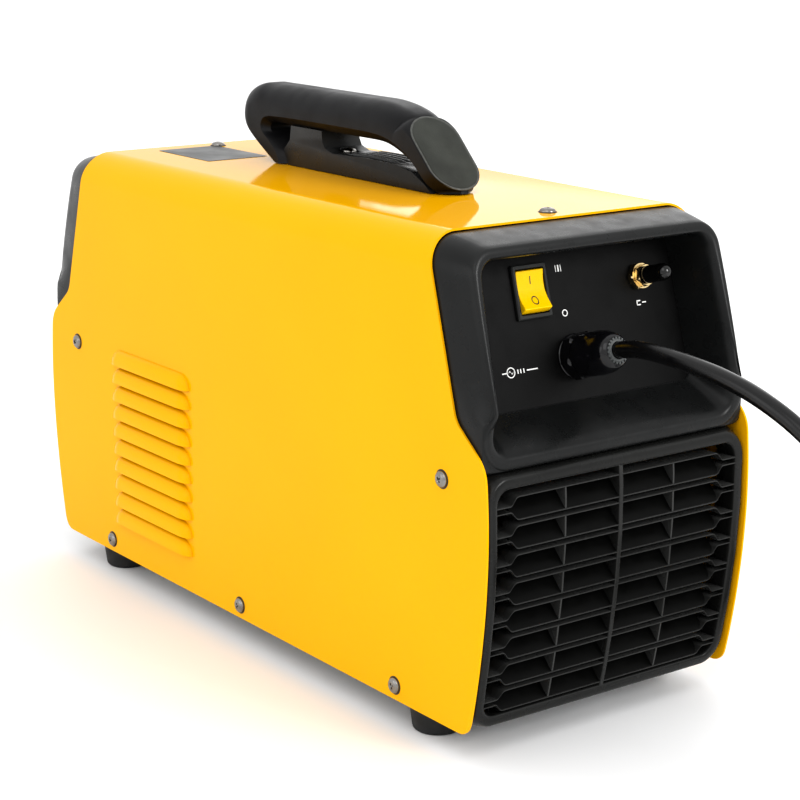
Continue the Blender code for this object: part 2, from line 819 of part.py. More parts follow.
def make_handle():
    """A grip that arches over a ribbed base, with a flat slanted pad at its rear end."""
    bm = bmesh.new()
    rings = []
    for outer, inner in GRIP_STATIONS:
        rings.append([bm.verts.new(metres(p)) for p in grip_section(outer, inner)])
    for ring, following in zip(rings, rings[1:]):
        for i in range(len(ring)):
            j = (i + 1) % len(ring)
            bm.faces.new((ring[i], ring[j], following[j], following[i]))
    bm.faces.new(rings[0])
    bm.faces.new(rings[-1])
    grip = add_object("handle_grip", finish_mesh("handle_grip", bm), GREY, 0.6)
    smooth(grip, 40)

    base_side = [
        (-65.8, 289.8),
        (86.9, 289.8),
        (80.5, 294.4),
        (68.0, 300.4),
        (50.0, 303.2),
        (20.0, 303.6),
        (-16.0, 302.4),
        (-24.5, 305.0),
        (-27.0, 309.0),
        (-27.6, 315.4),
        (-62.5, 315.4),
        (-64.0, 306.0),
        (-71.2, 299.2),
    ]
    base = add_object(
        "handle_base",
        outline_mesh("handle_base", base_side, -BASE_HALF_W, BASE_HALF_W, "X"),
        BLACK,
        0.55,
    )
    holes = []
    seats = []
    for y, seat in HANDLE_SCREWS.values():
        holes.append((SCREW_HOLE_R, (0, y, 285), (0, y, 310)))
        seats.append((SCREW_HEAD_R + 1.0, (0, y, seat), (0, y, 311)))
    boolean(base, cylinder_mesh("base_seats", seats), "DIFFERENCE", "screw_seats")
    boolean(base, cylinder_mesh("base_holes", holes), "DIFFERENCE", "screw_holes")
    bevel(base, 1.2, 1, 50)
    smooth(base, 40)
    for label, (y, seat) in HANDLE_SCREWS.items():
        made = turned(f"handle_screw_{label}", screw_profile(15.5), STEEL, 0.25, 1.0, steps=10)
        aim(made, (0, y, seat + GAP), (0, 0, 1))


# ---------------------------------------------------------------- slanted panels and what is on them

def on_panel(x, z, proud=0.0, end=1):
    """A point on a slanted panel's outer face, or proud of it, in millimetres."""
    point = Vector((x, panel_y(z), z)) + OUT * proud
    return Vector((point.x, point.y * end, point.z))


def out_of(end):
    return Vector((0.0, OUT.y * end, OUT.z))


def panel_mesh(name):
    """The slanted panel without its cut-outs, at the +Y end."""
    outline = frame_loop(84.0, 86.0, 279.5, 181.5, 9, 6, panel_y)
    bm = bmesh.new()
    face = bm.faces.new([bm.verts.new(metres(p)) for p in outline])
    made = bmesh.ops.extrude_face_region(bm, geom=[face])
    moved = [v for v in made["geom"] if isinstance(v, bmesh.types.BMVert)]
    bmesh.ops.translate(bm, verts=moved, vec=-OUT * PANEL_T * MM)
    return finish_mesh(name, bm)


def add_panel(name, end, round_holes, square_holes):
    panel = add_object(name, panel_mesh(name), BLACK, 0.5)
    panel.rotation_euler = (0, 0, 0 if end > 0 else math.pi)
    cutters = bmesh.new()
    for x, z, radius in round_holes:
        a = on_panel(x * end, z, 6)
        b = on_panel(x * end, z, -8)
        add_cylinder(cutters, radius, a, b, 20)
    for x, z, width, height in square_holes:
        verts = add_box(cutters, (-width / 2, -height / 2, -8), (width / 2, height / 2, 6))
        turn = OUT.to_track_quat("Z", "Y").to_matrix().to_4x4()
        # the track leaves local Y pointing up the panel
        place = Matrix.Translation(metres(on_panel(x * end, z))) @ turn
        bmesh.ops.transform(cutters, matrix=place, verts=verts)
    boolean(panel, finish_mesh(f"{name}_holes", cutters), "DIFFERENCE", "cut_outs")


def make_rear_panel():
    add_panel(
        "rear_panel",
        1,
        [(*GAS, GAS_HOLE_R), (*GLAND, GLAND_THREAD_R + 0.6)],
        [(*SWITCH, *SWITCH_CUT_OUT)],
    )


def panel_turn(end):
    """The rotation that lays local Z along a panel's outward direction with local Y up the panel."""
    out = out_of(end)
    up = Vector((0.0, UPWARD.y * end, UPWARD.z))
    across = up.cross(out)
    return Matrix((across, up, out)).transposed().to_quaternion()


def place_on_panel(obj, x, z, end, proud=0.0):
    obj.location = on_panel(x, z, proud, end) * MM
    obj.rotation_mode = "QUATERNION"
    obj.rotation_quaternion = panel_turn(end)


def make_power_switch():
    width, height = SWITCH_SIZE
    body = [
        ((-width / 2, -height / 2, GAP), (width / 2, height / 2, 2.6)),
    ]
    housing = local_box("switch_housing", body, PLASTIC, 0.45)
    shell = [((-10.6, -13.4, -24.0), (10.6, 13.4, 1.2))]
    boolean(housing, box_mesh("switch_body", shell), "UNION", "body")
    hollow = [((-9.1, -11.6, -8.5), (9.1, 11.6, 5.0))]
    boolean(housing, box_mesh("switch_hollow", hollow), "DIFFERENCE", "hollow")
    terminals = [((x - 0.4, y - 3.1, -32.0), (x + 0.4, y + 3.1, -23.0)) for x in (-5, 5) for y in (-7, 7)]
    boolean(housing, box_mesh("switch_terminals", terminals), "UNION", "terminals")
    place_on_panel(housing, *SWITCH, 1)

    # the rocker is a shallow V seen from the side, with ends that are round about its axis
    lower = arc((0, 0), ROCKER_R, 180 - ROCKER_FACE_ANGLE, 190, 3)
    upper = arc((0, 0), ROCKER_R, -10, ROCKER_FACE_ANGLE, 3)
    neutral = [(0.0, 2.7)] + lower + [(-4.0, -4.6), (4.0, -4.6)] + upper
    turn = Matrix.Rotation(math.radians(-ROCKER_TRAVEL / 2), 2)
    outline = [tuple(turn @ Vector(p)) for p in neutral]
    rocker = add_object(
        "switch_rocker",
        outline_mesh("switch_rocker", outline, -ROCKER_HALF_W, ROCKER_HALF_W, "X"),
        AMBER,
        0.3,
    )
    place_on_panel(rocker, *SWITCH, 1, ROCKER_AXIS_Z)
    bevel(rocker, 0.6, 1, 40)
    smooth(rocker)


def make_gas_inlet():
    nipple = [
        (0, 20.0),
        (2.8, 20.0),
        (3.5, 18.6),
        (2.9, 17.0),
        (3.5, 15.0),
        (2.9, 13.2),
        (2.9, 8.4),
        (7.6, 8.0),
        (8.2, 7.2),
        (8.2, 1.0),
        (7.6, GAP),
        (5.1, GAP),
        (5.1, -14.0),
        (0, -14.0),
    ]
    inlet = turned("gas_inlet", nipple, BRASS, 0.3, 1.0, steps=12)
    place_on_panel(inlet, *GAS, 1)
    cap = [
        (0, 27.0),
        (3.6, 27.0),
        (4.9, 26.0),
        (5.2, 24.4),
        (5.2, 9.2),
        (4.8, 8.7),
        (4.0, 8.7),
        (4.0, 20.6),
        (0, 20.6),
    ]
    made = turned("gas_inlet_cap", cap, PLASTIC, 0.35, steps=16)
    place_on_panel(made, *GAS, 1)


def make_gland():
    body = turned(
        "gland_body",
        [
            (14.2, GLAND_FLANGE_H),
            (14.6, GLAND_FLANGE_H - 0.5),
            (14.6, 1.0),
            (14.2, GAP),
            (GLAND_THREAD_R, GAP),
            (GLAND_THREAD_R, -13.0),
            (GLAND_BORE_R, -13.0),
            (GLAND_BORE_R, GLAND_FLANGE_H),
        ],
        PLASTIC,
        0.4,
        steps=20,
        closed=True,
    )
    place_on_panel(body, *GLAND, 1)
    nut = turned(
        "gland_nut",
        [
            (8.2, 36.0),
            (9.6, 35.4),
            (11.6, 32.5),
            (12.8, 27.5),
            (13.6, 22.0),
            (14.3, 21.0),
            (14.3, 10.6),
            (13.9, GLAND_FLANGE_H + GAP),
            (GLAND_BORE_R, GLAND_FLANGE_H + GAP),
            (GLAND_BORE_R, 36.0),
        ],
        PLASTIC,
        0.4,
        steps=20,
        closed=True,
    )
    place_on_panel(nut, *GLAND, 1)
    locknut = turned(
        "gland_locknut",
        [
            (13.6, -PANEL_T - GAP),
            (14.0, -PANEL_T - 0.8),
            (14.0, -PANEL_T - 5.0),
            (GLAND_THREAD_R + GAP, -PANEL_T - 5.0),
            (GLAND_THREAD_R + GAP, -PANEL_T - GAP),
        ],
        PLASTIC,
        0.4,
        steps=20,
        closed=True,
    )
    place_on_panel(locknut, *GLAND, 1)


# ---------------------------------------------------------------- front control panel

def make_front_panel():
    rounds = [(x, z, KNOB_SHAFT_R + 0.6) for x, z, _, _ in KNOBS.values()]
    rounds += [(x, z, 3.3) for x, z in TOGGLES.values()]
    x, z, width, height = DISPLAY
    add_panel("front_panel", -1, rounds, [(x, z, width - 4, height - 4)])


def make_controls():
    for name, (x, z, radius, height) in KNOBS.items():
        profile = [
            (0, height + 1),
            (radius * 0.70, height + 1),
            (radius * 0.78, height),
            (radius * 0.84, 4.0),
            (radius, 2.6),
            (radius, 1.0),
            (KNOB_SHAFT_R, 1.0),
            (KNOB_SHAFT_R, -12.0),
            (0, -12.0),
        ]
        knob = turned(name, profile, PLASTIC, 0.45, steps=16)
        place_on_panel(knob, x, z, -1)
    for name, (x, z) in TOGGLES.items():
        profile = [
            (0, 17.5),
            (1.9, 17.0),
            (2.3, 15.0),
            (1.5, 4.0),
            (2.6, 1.2),
            (2.6, -1.2),
            (1.6, -3.5),
            (0, -3.5),
        ]
        lever = turned(name, profile, STEEL, 0.25, 1.0, steps=10)
        place_on_panel(lever, x, z, -1, TOGGLE_AXIS_Z)
        # it rests in its lower position
        rest = Quaternion((1, 0, 0), math.radians(TOGGLE_REST))
        lever.rotation_quaternion = rest @ lever.rotation_quaternion
    x, z, width, height = DISPLAY
    window = [((-width / 2, -height / 2, GAP), (width / 2, height / 2, 2.0))]
    made = local_box("display_window", window, (0.03, 0.01, 0.01), 0.1)
    stem = [((-width / 2 + 2.4, -height / 2 + 2.4, -7.0), (width / 2 - 2.4, height / 2 - 2.4, 1.0))]
    boolean(made, box_mesh("display_body", stem), "UNION", "body")
    place_on_panel(made, x, z, -1)


# ---------------------------------------------------------------- front lower panel with the sockets

def make_connector_panel():
    bm = loft_ring(rim_loops(15.5))
    made = end_frame(-1, "connector_panel", finish_mesh("connector_panel", bm))
    wall = [((-89.5, FACE_Y - FACE_T, 22.8), (89.5, FACE_Y, 159.0))]
    boolean(made, box_mesh("connector_wall", wall), "UNION", "wall")
    holes = []
    for x in SOCKETS.values():
        holes.append((SOCKET_HOLE_R, (x, 210, SOCKET_Z), (x, 240, SOCKET_Z)))
    holes.append((6.3, (0, 210, GAS_OUTLET_Z), (0, 240, GAS_OUTLET_Z)))
    holes.append((9.3, (0, 210, CONTROL_SOCKET_Z), (0, 240, CONTROL_SOCKET_Z)))
    boolean(made, cylinder_mesh("connector_holes", holes), "DIFFERENCE", "holes")
    smooth(made)


def make_sockets():
    for name, x in SOCKETS.items():
        socket = turned(
            name,
            [
                (0.0, -6.0),
                (6.6, -6.0),
                (6.6, 13.0),
                (19.0, 13.0),
                (20.0, 11.5),
                (20.5, 1.5),
                (20.0, GAP),
                (16.0, GAP),
                (16.0, -18.0),
                (0.0, -18.0),
            ],
            PLASTIC,
            0.5,
            steps=24,
        )
        aim(socket, (x, -FACE_Y, SOCKET_Z), (0, -1, 0))
    gas = turned(
        "gas_outlet",
        [
            (0, 2.0),
            (1.9, 2.0),
            (1.9, 15.0),
            (4.3, 15.0),
            (5.2, 14.0),
            (5.2, 5.0),
            (9.0, 4.6),
            (9.0, GAP),
            (6.0, GAP),
            (6.0, -12.0),
            (0, -12.0),
        ],
        BRASS,
        0.3,
        1.0,
        steps=12,
    )
    aim(gas, (0, -FACE_Y, GAS_OUTLET_Z), (0, -1, 0))
    control = turned(
        "torch_control_socket",
        [
            (0, 3.5),
            (7.4, 3.5),
            (7.4, 12.0),
            (8.4, 12.0),
            (9.2, 11.2),
            (9.2, 3.4),
            (12.5, 3.0),
            (12.5, GAP),
            (9.0, GAP),
            (9.0, -12.0),
            (0, -12.0),
        ],
        STEEL,
        0.3,
        1.0,
        steps=20,
    )
    aim(control, (0, -FACE_Y, CONTROL_SOCKET_Z), (0, -1, 0))


# ---------------------------------------------------------------- inside

def make_fan():
    """A square axial fan behind the rear grille."""
    low = (-FAN_HALF, FAN_Y - FAN_HALF_DEPTH, FAN_Z - FAN_HALF)
    high = (FAN_HALF, FAN_Y + FAN_HALF_DEPTH, FAN_Z + FAN_HALF)
    frame = local_box("fan_frame", [(low, high)], PLASTIC, 0.6)
    bore = bmesh.new()
    add_cylinder(bore, FAN_R + 1.5, (0, FAN_Y - 20, FAN_Z), (0, FAN_Y + 20, FAN_Z), 32)
    boolean(frame, finish_mesh("fan_bore", bore), "DIFFERENCE", "bore")
    near = FAN_Y - FAN_HALF_DEPTH + 0.2
    reach = FAN_R + 3
    hub = bmesh.new()
    add_cylinder(hub, 17.0, (0, near, FAN_Z), (0, near + 3.3, FAN_Z), 20)
    boolean(frame, finish_mesh("fan_hub", hub), "UNION", "hub")
    upright = [((-2.0, near + 0.1, FAN_Z - reach), (2.0, near + 3.1, FAN_Z + reach))]
    boolean(frame, box_mesh("fan_upright", upright), "UNION", "upright")
    level = [((-reach, near + 0.2, FAN_Z - 2.0), (reach, near + 3.0, FAN_Z + 2.0))]
    boolean(frame, box_mesh("fan_level", level), "UNION", "level")

    bm = bmesh.new()
    add_cylinder(bm, 19.0, (0, -8.0, 0), (0, 10.5, 0), 20)
    impeller = add_object("fan_impeller", finish_mesh("fan_impeller", bm), PLASTIC, 0.5)
    impeller.location = metres((0, FAN_Y, FAN_Z))
    for index in range(FAN_BLADES):
        blade = bmesh.new()
        add_box(blade, (15.0, -0.9, -11.0), (FAN_R - 1.5, 0.9, 11.0))
        pitch = Matrix.Rotation(math.radians(FAN_PITCH), 4, "X")
        bmesh.ops.transform(blade, matrix=pitch, verts=blade.verts)
        turn = Matrix.Rotation(2 * math.pi * index / FAN_BLADES, 4, "Y")
        bmesh.ops.transform(blade, matrix=turn, verts=blade.verts)
        boolean(impeller, finish_mesh(f"blade_{index}", blade), "UNION", f"blade_{index + 1}")


def make_insides():
    """The parts on the base pan and under the cover, as simple solids of the right size."""
    fins = [((20.0, -120.0, FLOOR_Z + 3), (80.0, 120.0, FLOOR_Z + 9))]
    for index in range(8):
        x = 21.0 + index * 8.0
        fins.append(((x, -120.0, FLOOR_Z + 8.0), (x + 2.0, 120.0, FLOOR_Z + 46.0)))
    heatsink = local_box("heatsink", [fins[0]], ALUMINIUM, 0.4, 1.0)
    boolean(heatsink, box_mesh("fins", fins[1:]), "UNION", "fins")
    board = [((12.0, -135.0, 90.0), (88.0, 135.0, 91.6))]
    local_box("power_board", board, LAMINATE, 0.5)
    local_box("control_board", [((-78.0, -170.0, 208.0), (78.0, -60.0, 209.6))], LAMINATE, 0.5)
    can = cylinder_mesh("capacitor", [(17.0, (50, -60, 92.0), (50, -60, 142.0))])
    smooth(add_object("capacitor", can, (0.02, 0.03, 0.09), 0.4))
    block = [((-85, 20, FLOOR_Z), (-20, 110, FLOOR_Z + 66))]
    core = local_box("transformer", block, (0.12, 0.09, 0.07), 0.6, 0.3)
    bevel(core, 4, 1)
    coil = turned(
        "output_inductor",
        [(34, 22), (37, 19), (37, -19), (34, -22), (16, -22), (14, -19), (14, 19), (16, 22)],
        (0.45, 0.2, 0.08),
        0.35,
        0.8,
        steps=24,
        closed=True,
    )
    coil.location = metres((-50, -40, FLOOR_Z + 22.4))
    block = [((-85, -140, FLOOR_Z), (-30, -90, FLOOR_Z + 60))]
    unit = local_box("arc_starter", block, (0.05, 0.05, 0.06), 0.5)
    bevel(unit, 3, 1)
    block = [((-76, 130, FLOOR_Z), (-44, 172, FLOOR_Z + 44))]
    valve = local_box("gas_valve", block, BRASS, 0.35, 0.9)
    bevel(valve, 3, 1)


# ---------------------------------------------------------------- cord

def smooth_route(points, spacing):
    """Points along a smooth curve through the given ones, about that far apart."""
    route = [Vector(p) for p in points]
    found = [route[0]]
    for i in range(len(route) - 1):
        before = route[max(i - 1, 0)]
        after = route[min(i + 2, len(route) - 1)]
        a, b = route[i], route[i + 1]
        handle_a = a + (b - before) / 6
        handle_b = b - (after - a) / 6
        steps = max(1, round((b - a).length / spacing))
        found += interpolate_bezier(a, handle_a, handle_b, b, steps + 1)[1:]
    return found


def make_cord():
    curve = bpy.data.curves.new("power_cord", "CURVE")
    curve.dimensions = "3D"
    curve.bevel_depth = CORD_R * MM
    curve.bevel_resolution = 2
    curve.use_fill_caps = True
    points = smooth_route(CORD_ROUTE, 2.2 * 2 * CORD_R)
    spline = curve.splines.new("POLY")
    spline.points.add(len(points) - 1)
    for target, point in zip(spline.points, points):
        target.co = (*metres(point), 1.0)
    cord = bpy.data.objects.new("power_cord", curve)
    PARTS.objects.link(cord)
    cord.data.materials.append(material("power_cord", PLASTIC, 0.35))

    half = 3 * CORD_R
    inner = COIL_MEAN_R - half
    outer = COIL_MEAN_R + half
    high = 4 * CORD_R
    low = 0.2
    ring = [
        (outer - 2, high),
        (outer, high - 2),
        (outer, 2),
        (outer - 2, low),
        (inner + 2, low),
        (inner, 2),
        (inner, high - 2),
        (inner + 2, high),
    ]
    coil = turned("cord_coil", ring, PLASTIC, 0.35, steps=32, closed=True)
    coil.location = metres((*COIL_CENTRE, 0))

    plug = turned(
        "plug",
        [
            (0, 85.5),
            (17.6, 85.5),
            (18.4, 84.5),
            (18.4, 60.0),
            (16.0, 50.0),
            (9.5, 42.0),
            (7.6, 36.0),
            (6.0, 4.0),
            (5.6, 0.0),
            (0, 0.0),
        ],
        PLASTIC,
        0.4,
        steps=20,
    )
    pins = [(2.4, (x, 0, 80.0), (x, 0, 104.0)) for x in (-9.5, 9.5)]
    boolean(plug, cylinder_mesh("plug_pins", pins), "UNION", "pins")
    aim(plug, (PLUG_X, PLUG_Y, 18.8), (0, -1, 0))


make_cover()
make_base_pan()
make_feet()
make_bezels()
make_grille()
make_rear_panel()
make_power_switch()
make_gas_inlet()
make_gland()
make_front_panel()
make_controls()
make_connector_panel()
make_sockets()
make_handle()
make_screws()
make_fan()
make_insides()
make_cord()
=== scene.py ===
"""TIG welding machine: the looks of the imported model. Points are in millimetres until metres() is called."""

import math

import bmesh
import bpy
from mathutils import Matrix, Vector
from mathutils.geometry import interpolate_bezier


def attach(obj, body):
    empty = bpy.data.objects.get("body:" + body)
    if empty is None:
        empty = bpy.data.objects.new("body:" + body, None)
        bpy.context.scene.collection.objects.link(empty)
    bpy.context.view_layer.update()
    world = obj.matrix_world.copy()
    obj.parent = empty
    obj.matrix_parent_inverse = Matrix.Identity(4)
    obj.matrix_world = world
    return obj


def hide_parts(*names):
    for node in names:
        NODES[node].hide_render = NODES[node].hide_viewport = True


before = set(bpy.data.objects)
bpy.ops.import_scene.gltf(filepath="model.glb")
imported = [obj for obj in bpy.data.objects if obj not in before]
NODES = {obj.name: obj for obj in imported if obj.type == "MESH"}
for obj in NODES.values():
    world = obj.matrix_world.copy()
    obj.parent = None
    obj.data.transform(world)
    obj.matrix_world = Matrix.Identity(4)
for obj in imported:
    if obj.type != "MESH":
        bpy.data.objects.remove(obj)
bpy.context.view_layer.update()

MM = 0.001
GAP = 0.3                     # the clearance between touching parts
SHEET = 1.2                   # the cover's thickness
MERGE = 0.00001
HALF_W = 97.0
COVER_TOP = 289.5
SLOPE = (218.0 - 190.0) / (289.5 - 191.8)
TILT = math.atan(SLOPE)
OUT = Vector((0.0, math.cos(TILT), math.sin(TILT)))
UPWARD = Vector((0.0, -math.sin(TILT), math.cos(TILT)))
# the rear edge of the cover's sides, as (y, z) from the top down
SIDE_EDGE = [
    (190.0, 289.5), (218.0, 191.8), (244.0, 171.2), (246.2, 146.0), (246.6, 120.0), (244.9, 90.0),
    (241.2, 60.0), (237.0, 36.0), (232.6, 16.3),
]


def metres(point):
    return Vector(point) * MM


def linked(name, data):
    """A new object in the scene."""
    item = bpy.data.objects.new(name, data)
    bpy.context.scene.collection.objects.link(item)
    return item


# ---------------------------------------------------------------- camera, light and floor

CAMERA_AT = (757.268, 1062.502, 475.626)
CAMERA_BACK = Vector((0.57588696, 0.77958044, 0.24618803))
CAMERA_RIGHT = Vector((-0.805041, 0.59320029, 0.00473329))
CAMERA_LENS = 94.07
FLOOR_HALF = 6.0              # in metres
# name, place, target, size and power of each light, in metres and watts
LIGHTS = [
    ("key", (1.6, 1.4, 2.0), (0, 0.1, 0.15), 1.6, 9),
    ("side", (2.4, -0.4, 0.9), (0, 0, 0.15), 1.4, 5),
    ("top", (-0.4, -0.6, 2.6), (0, 0, 0.2), 2.4, 3),
    ("rear", (-0.5, 1.7, 0.9), (0, 0.2, 0.2), 0.6, 11),
    ("back", (-2.0, -1.6, 1.4), (0, 0, 0.2), 1.6, 6),
]


def make_camera():
    camera = bpy.data.cameras.new("camera")
    camera.lens = CAMERA_LENS
    camera.sensor_width = 36.0
    camera.clip_start = 0.05
    camera.clip_end = 50.0
    item = linked("camera", camera)
    back = CAMERA_BACK.normalized()
    right = (CAMERA_RIGHT - back * CAMERA_RIGHT.dot(back)).normalized()
    turn = Matrix((right, back.cross(right), back)).transposed().to_4x4()
    item.matrix_world = Matrix.Translation(metres(CAMERA_AT)) @ turn
    bpy.context.scene.camera = item


def area_light(name, location, target, size, power):
    data = bpy.data.lights.new(name, "AREA")
    data.shape = "RECTANGLE"
    data.size = data.size_y = size
    data.energy = power
    item = linked(name, data)
    item.location = location
    item.rotation_mode = "QUATERNION"
    item.rotation_quaternion = (Vector(target) - Vector(location)).to_track_quat("-Z", "Y")


def make_stage():
    """A white world, a pale floor and the lights."""
    world = bpy.data.worlds.new("studio")
    world.use_nodes = True
    background = world.node_tree.nodes["Background"]
    background.inputs["Color"].default_value = (1.0, 1.0, 1.0, 1.0)
    background.inputs["Strength"].default_value = 1.02
    bpy.context.scene.world = world
    bpy.context.scene.view_settings.view_transform = "Standard"
    bpy.context.scene.view_settings.look = "Medium High Contrast"
    bm = bmesh.new()
    bmesh.ops.create_grid(bm, x_segments=1, y_segments=1, size=FLOOR_HALF)
    mesh = plain_mesh("floor", bm)
    floor = linked("floor", mesh)
    paint = bpy.data.materials.new("floor")
    paint.use_nodes = True
    nodes = paint.node_tree.nodes
    links = paint.node_tree.links
    noise = nodes.new("ShaderNodeTexNoise")
    noise.inputs["Scale"].default_value = 3.0
    ramp = nodes.new("ShaderNodeValToRGB")
    ramp.color_ramp.elements[0].color = (0.90, 0.90, 0.90, 1)
    ramp.color_ramp.elements[1].color = (0.93, 0.93, 0.93, 1)
    links.new(noise.outputs["Fac"], ramp.inputs["Fac"])
    links.new(ramp.outputs["Color"], nodes["Principled BSDF"].inputs["Base Color"])
    nodes["Principled BSDF"].inputs["Roughness"].default_value = 0.6
    mesh.materials.append(paint)
    for light in LIGHTS:
        area_light(*light)


# ---------------------------------------------------------------- shape helpers

def plain_mesh(name, bm):
    """A mesh with the faces as they are."""
    mesh = bpy.data.meshes.new(name)
    bm.to_mesh(mesh)
    bm.free()
    return mesh


def new_mesh(name, bm):
    """A mesh with its faces turned outwards."""
    bmesh.ops.recalc_face_normals(bm, faces=bm.faces)
    return plain_mesh(name, bm)


make_camera()
make_stage()


def add_piece(name, mesh, look, body="chassis", replaces=(), angle=35):
    """Links a piece, gives it its material, shades it and lets it ride on a body."""
    item = linked(name, mesh)
    mesh.materials.clear()
    mesh.materials.append(look)
    mesh.shade_smooth()
    mesh.set_sharp_from_angle(angle=math.radians(angle))
    if replaces:
        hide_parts(*replaces)
    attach(item, body)
    return item


def placed(name, mesh, material, place, body="chassis", replaces=(), angle=35):
    """Adds a piece whose mesh was made round its own origin."""
    mesh.transform(place)
    return add_piece(name, mesh, material, body, replaces, angle)


def add_box(bm, low, high):
    size = [(b - a) * MM for a, b in zip(low, high)]
    centre = [(a + b) / 2 * MM for a, b in zip(low, high)]
    place = Matrix.Translation(centre) @ Matrix.Diagonal((*size, 1.0))
    return bmesh.ops.create_cube(bm, size=1.0, matrix=place)["verts"]


def turn_verts(bm, verts, angle):
    bmesh.ops.transform(bm, matrix=Matrix.Rotation(angle, 4, "Z"), verts=verts)


def box_mesh(name, boxes):
    bm = bmesh.new()
    for low, high in boxes:
        add_box(bm, low, high)
    return new_mesh(name, bm)


def add_cylinder(bm, radius, start, end, segments, end_radius=None):
    a = metres(start)
    b = metres(end)
    turn = (b - a).to_track_quat("Z", "Y").to_matrix().to_4x4()
    far = radius if end_radius is None else end_radius
    place = Matrix.Translation((a + b) / 2) @ turn
    radii = {"radius1": radius * MM, "radius2": far * MM}
    bmesh.ops.create_cone(bm, cap_ends=True, segments=segments, **radii, depth=(b - a).length, matrix=place)


def angles(count):
    return [2 * math.pi * k / count for k in range(count)]


def polar(radius, angle, *height, centre=(0, 0)):
    """The point at an angle on a circle, as (x, y), or (x, y, z) with a height."""
    return (centre[0] + radius * math.cos(angle), centre[1] + radius * math.sin(angle), *height)


def arc(centre, radius, start, end, steps):
    turns = [math.radians(start + (end - start) * i / steps) for i in range(steps + 1)]
    return [polar(radius, turn, centre=centre) for turn in turns]


def skin(bm, loops, closed=False):
    """Joins each loop of points to the next, and the last to the first if closed, else caps both ends."""
    rings = [[bm.verts.new(metres(p)) for p in loop] for loop in loops]
    for a, b in zip(rings, rings[1:] + (rings[:1] if closed else [])):
        for i in range(len(a)):
            j = (i + 1) % len(a)
            bm.faces.new((a[i], a[j], b[j], b[i]))
    if not closed:
        bm.faces.new(rings[0])
        bm.faces.new(rings[-1])
    return rings


def skin_mesh(name, loops, closed=False, creases=()):
    """A mesh of such loops; a crease for each loop keeps it sharp when it is subdivided."""
    bm = bmesh.new()
    layer = bm.edges.layers.float.new("crease_edge") if creases else None
    for ring, crease in zip(skin(bm, loops, closed), creases):
        for i, vert in enumerate(ring):
            bm.edges.get((vert, ring[(i + 1) % len(ring)]))[layer] = crease
    return new_mesh(name, bm)


def along_x(outline, x):
    return [(x, y, z) for y, z in outline]


def slab_mesh(name, outline, low, high):
    """An outline of (y, z) points pushed out from low to high along X."""
    return skin_mesh(name, [along_x(outline, low), along_x(outline, high)])


def turned_mesh(name, profile, steps):
    """A turned solid about Z: the profile is (radius, height), closed on the axis or on itself."""
    bm = bmesh.new()
    rings = []
    for r, z in profile:
        points = [polar(r * MM, a, z * MM) for a in angles(steps)] if r >= 1e-6 else [(0, 0, z * MM)]
        rings.append([bm.verts.new(p) for p in points])
    closed = profile[0][0] > 1e-6
    for a, b in zip(rings, rings[1:] + (rings[:1] if closed else [])):
        for i in range(steps):
            j = (i + 1) % steps
            if len(a) == 1 and len(b) == 1:
                continue
            if len(a) == 1:
                bm.faces.new((a[0], b[i], b[j]))
            elif len(b) == 1:
                bm.faces.new((a[i], a[j], b[0]))
            else:
                bm.faces.new((a[i], a[j], b[j], b[i]))
    return new_mesh(name, bm)


def turned(name, profile, steps, material, place, *rest, **more):
    return placed(name, turned_mesh(name, profile, steps), material, place, *rest, **more)


def round_corners(points, radius, steps=4, closed=False):
    """Rounds the corners of a 2D polyline; radius may be a number or one for each point."""
    count = len(points)
    found = []
    for i, p in enumerate(points):
        r = radius[i] if isinstance(radius, (list, tuple)) else radius
        if r <= 0 or (not closed and i in (0, count - 1)):
            found.append(tuple(p))
            continue
        here = Vector(p)
        back = Vector(points[i - 1]) - here
        ahead = Vector(points[(i + 1) % count]) - here
        cut = min(r, back.length * 0.48, ahead.length * 0.48)
        a = here + back.normalized() * cut
        b = here + ahead.normalized() * cut
        for k in range(steps + 1):
            t = k / steps
            found.append(tuple(a * (1 - t) ** 2 + here * 2 * t * (1 - t) + b * t * t))
    return found


def smooth_span(points, i, count):
    """Points from one station to the next, on a smooth line through all of them."""
    a, b = points[i], points[i + 1]
    before = points[max(i - 1, 0)]
    after = points[min(i + 2, len(points) - 1)]
    return interpolate_bezier(a, a + (b - before) / 6, b - (after - a) / 6, b, count)


def ease(t):
    return t * t * (3 - 2 * t)


def edge_y(z):
    """The cover's rear edge at a height."""
    if z >= SIDE_EDGE[0][1]:
        return SIDE_EDGE[0][0]
    for (ya, za), (yb, zb) in zip(SIDE_EDGE, SIDE_EDGE[1:]):
        if za >= z >= zb:
            return ya + (yb - ya) * (za - z) / (za - zb)
    return SIDE_EDGE[-1][0]


def panel_y(z, proud=0.0):
    """The slanted panel's face at a height."""
    return 198.0 - SLOPE * (z - 240.0) + proud


def rim_y(z):
    """The front of the bezel's rim at a height: slanted above, upright below."""
    slanted = 219.4 + 0.291 * (282.6 - z)
    upright = 240.6
    share = ease(min(1.0, max(0.0, (200.0 - z) / 8.0)))
    return slanted * (1 - share) + upright * share


def panel_frame(x, z, proud=0.0, end=1):
    """The place on a slanted panel, at end 1 or -1: local Z is out of the panel and local Y is up it."""
    out = Vector((0.0, OUT.y * end, OUT.z))
    up = Vector((0.0, UPWARD.y * end, UPWARD.z))
    turn = Matrix((up.cross(out), up, out)).transposed().to_4x4()
    point = Vector((x, panel_y(z), z)) + OUT * proud
    return Matrix.Translation(metres((point.x, point.y * end, point.z))) @ turn


def aimed(location, direction):
    turn = Vector(direction).to_track_quat("Z", "Y").to_matrix().to_4x4()
    return Matrix.Translation(metres(location)) @ turn


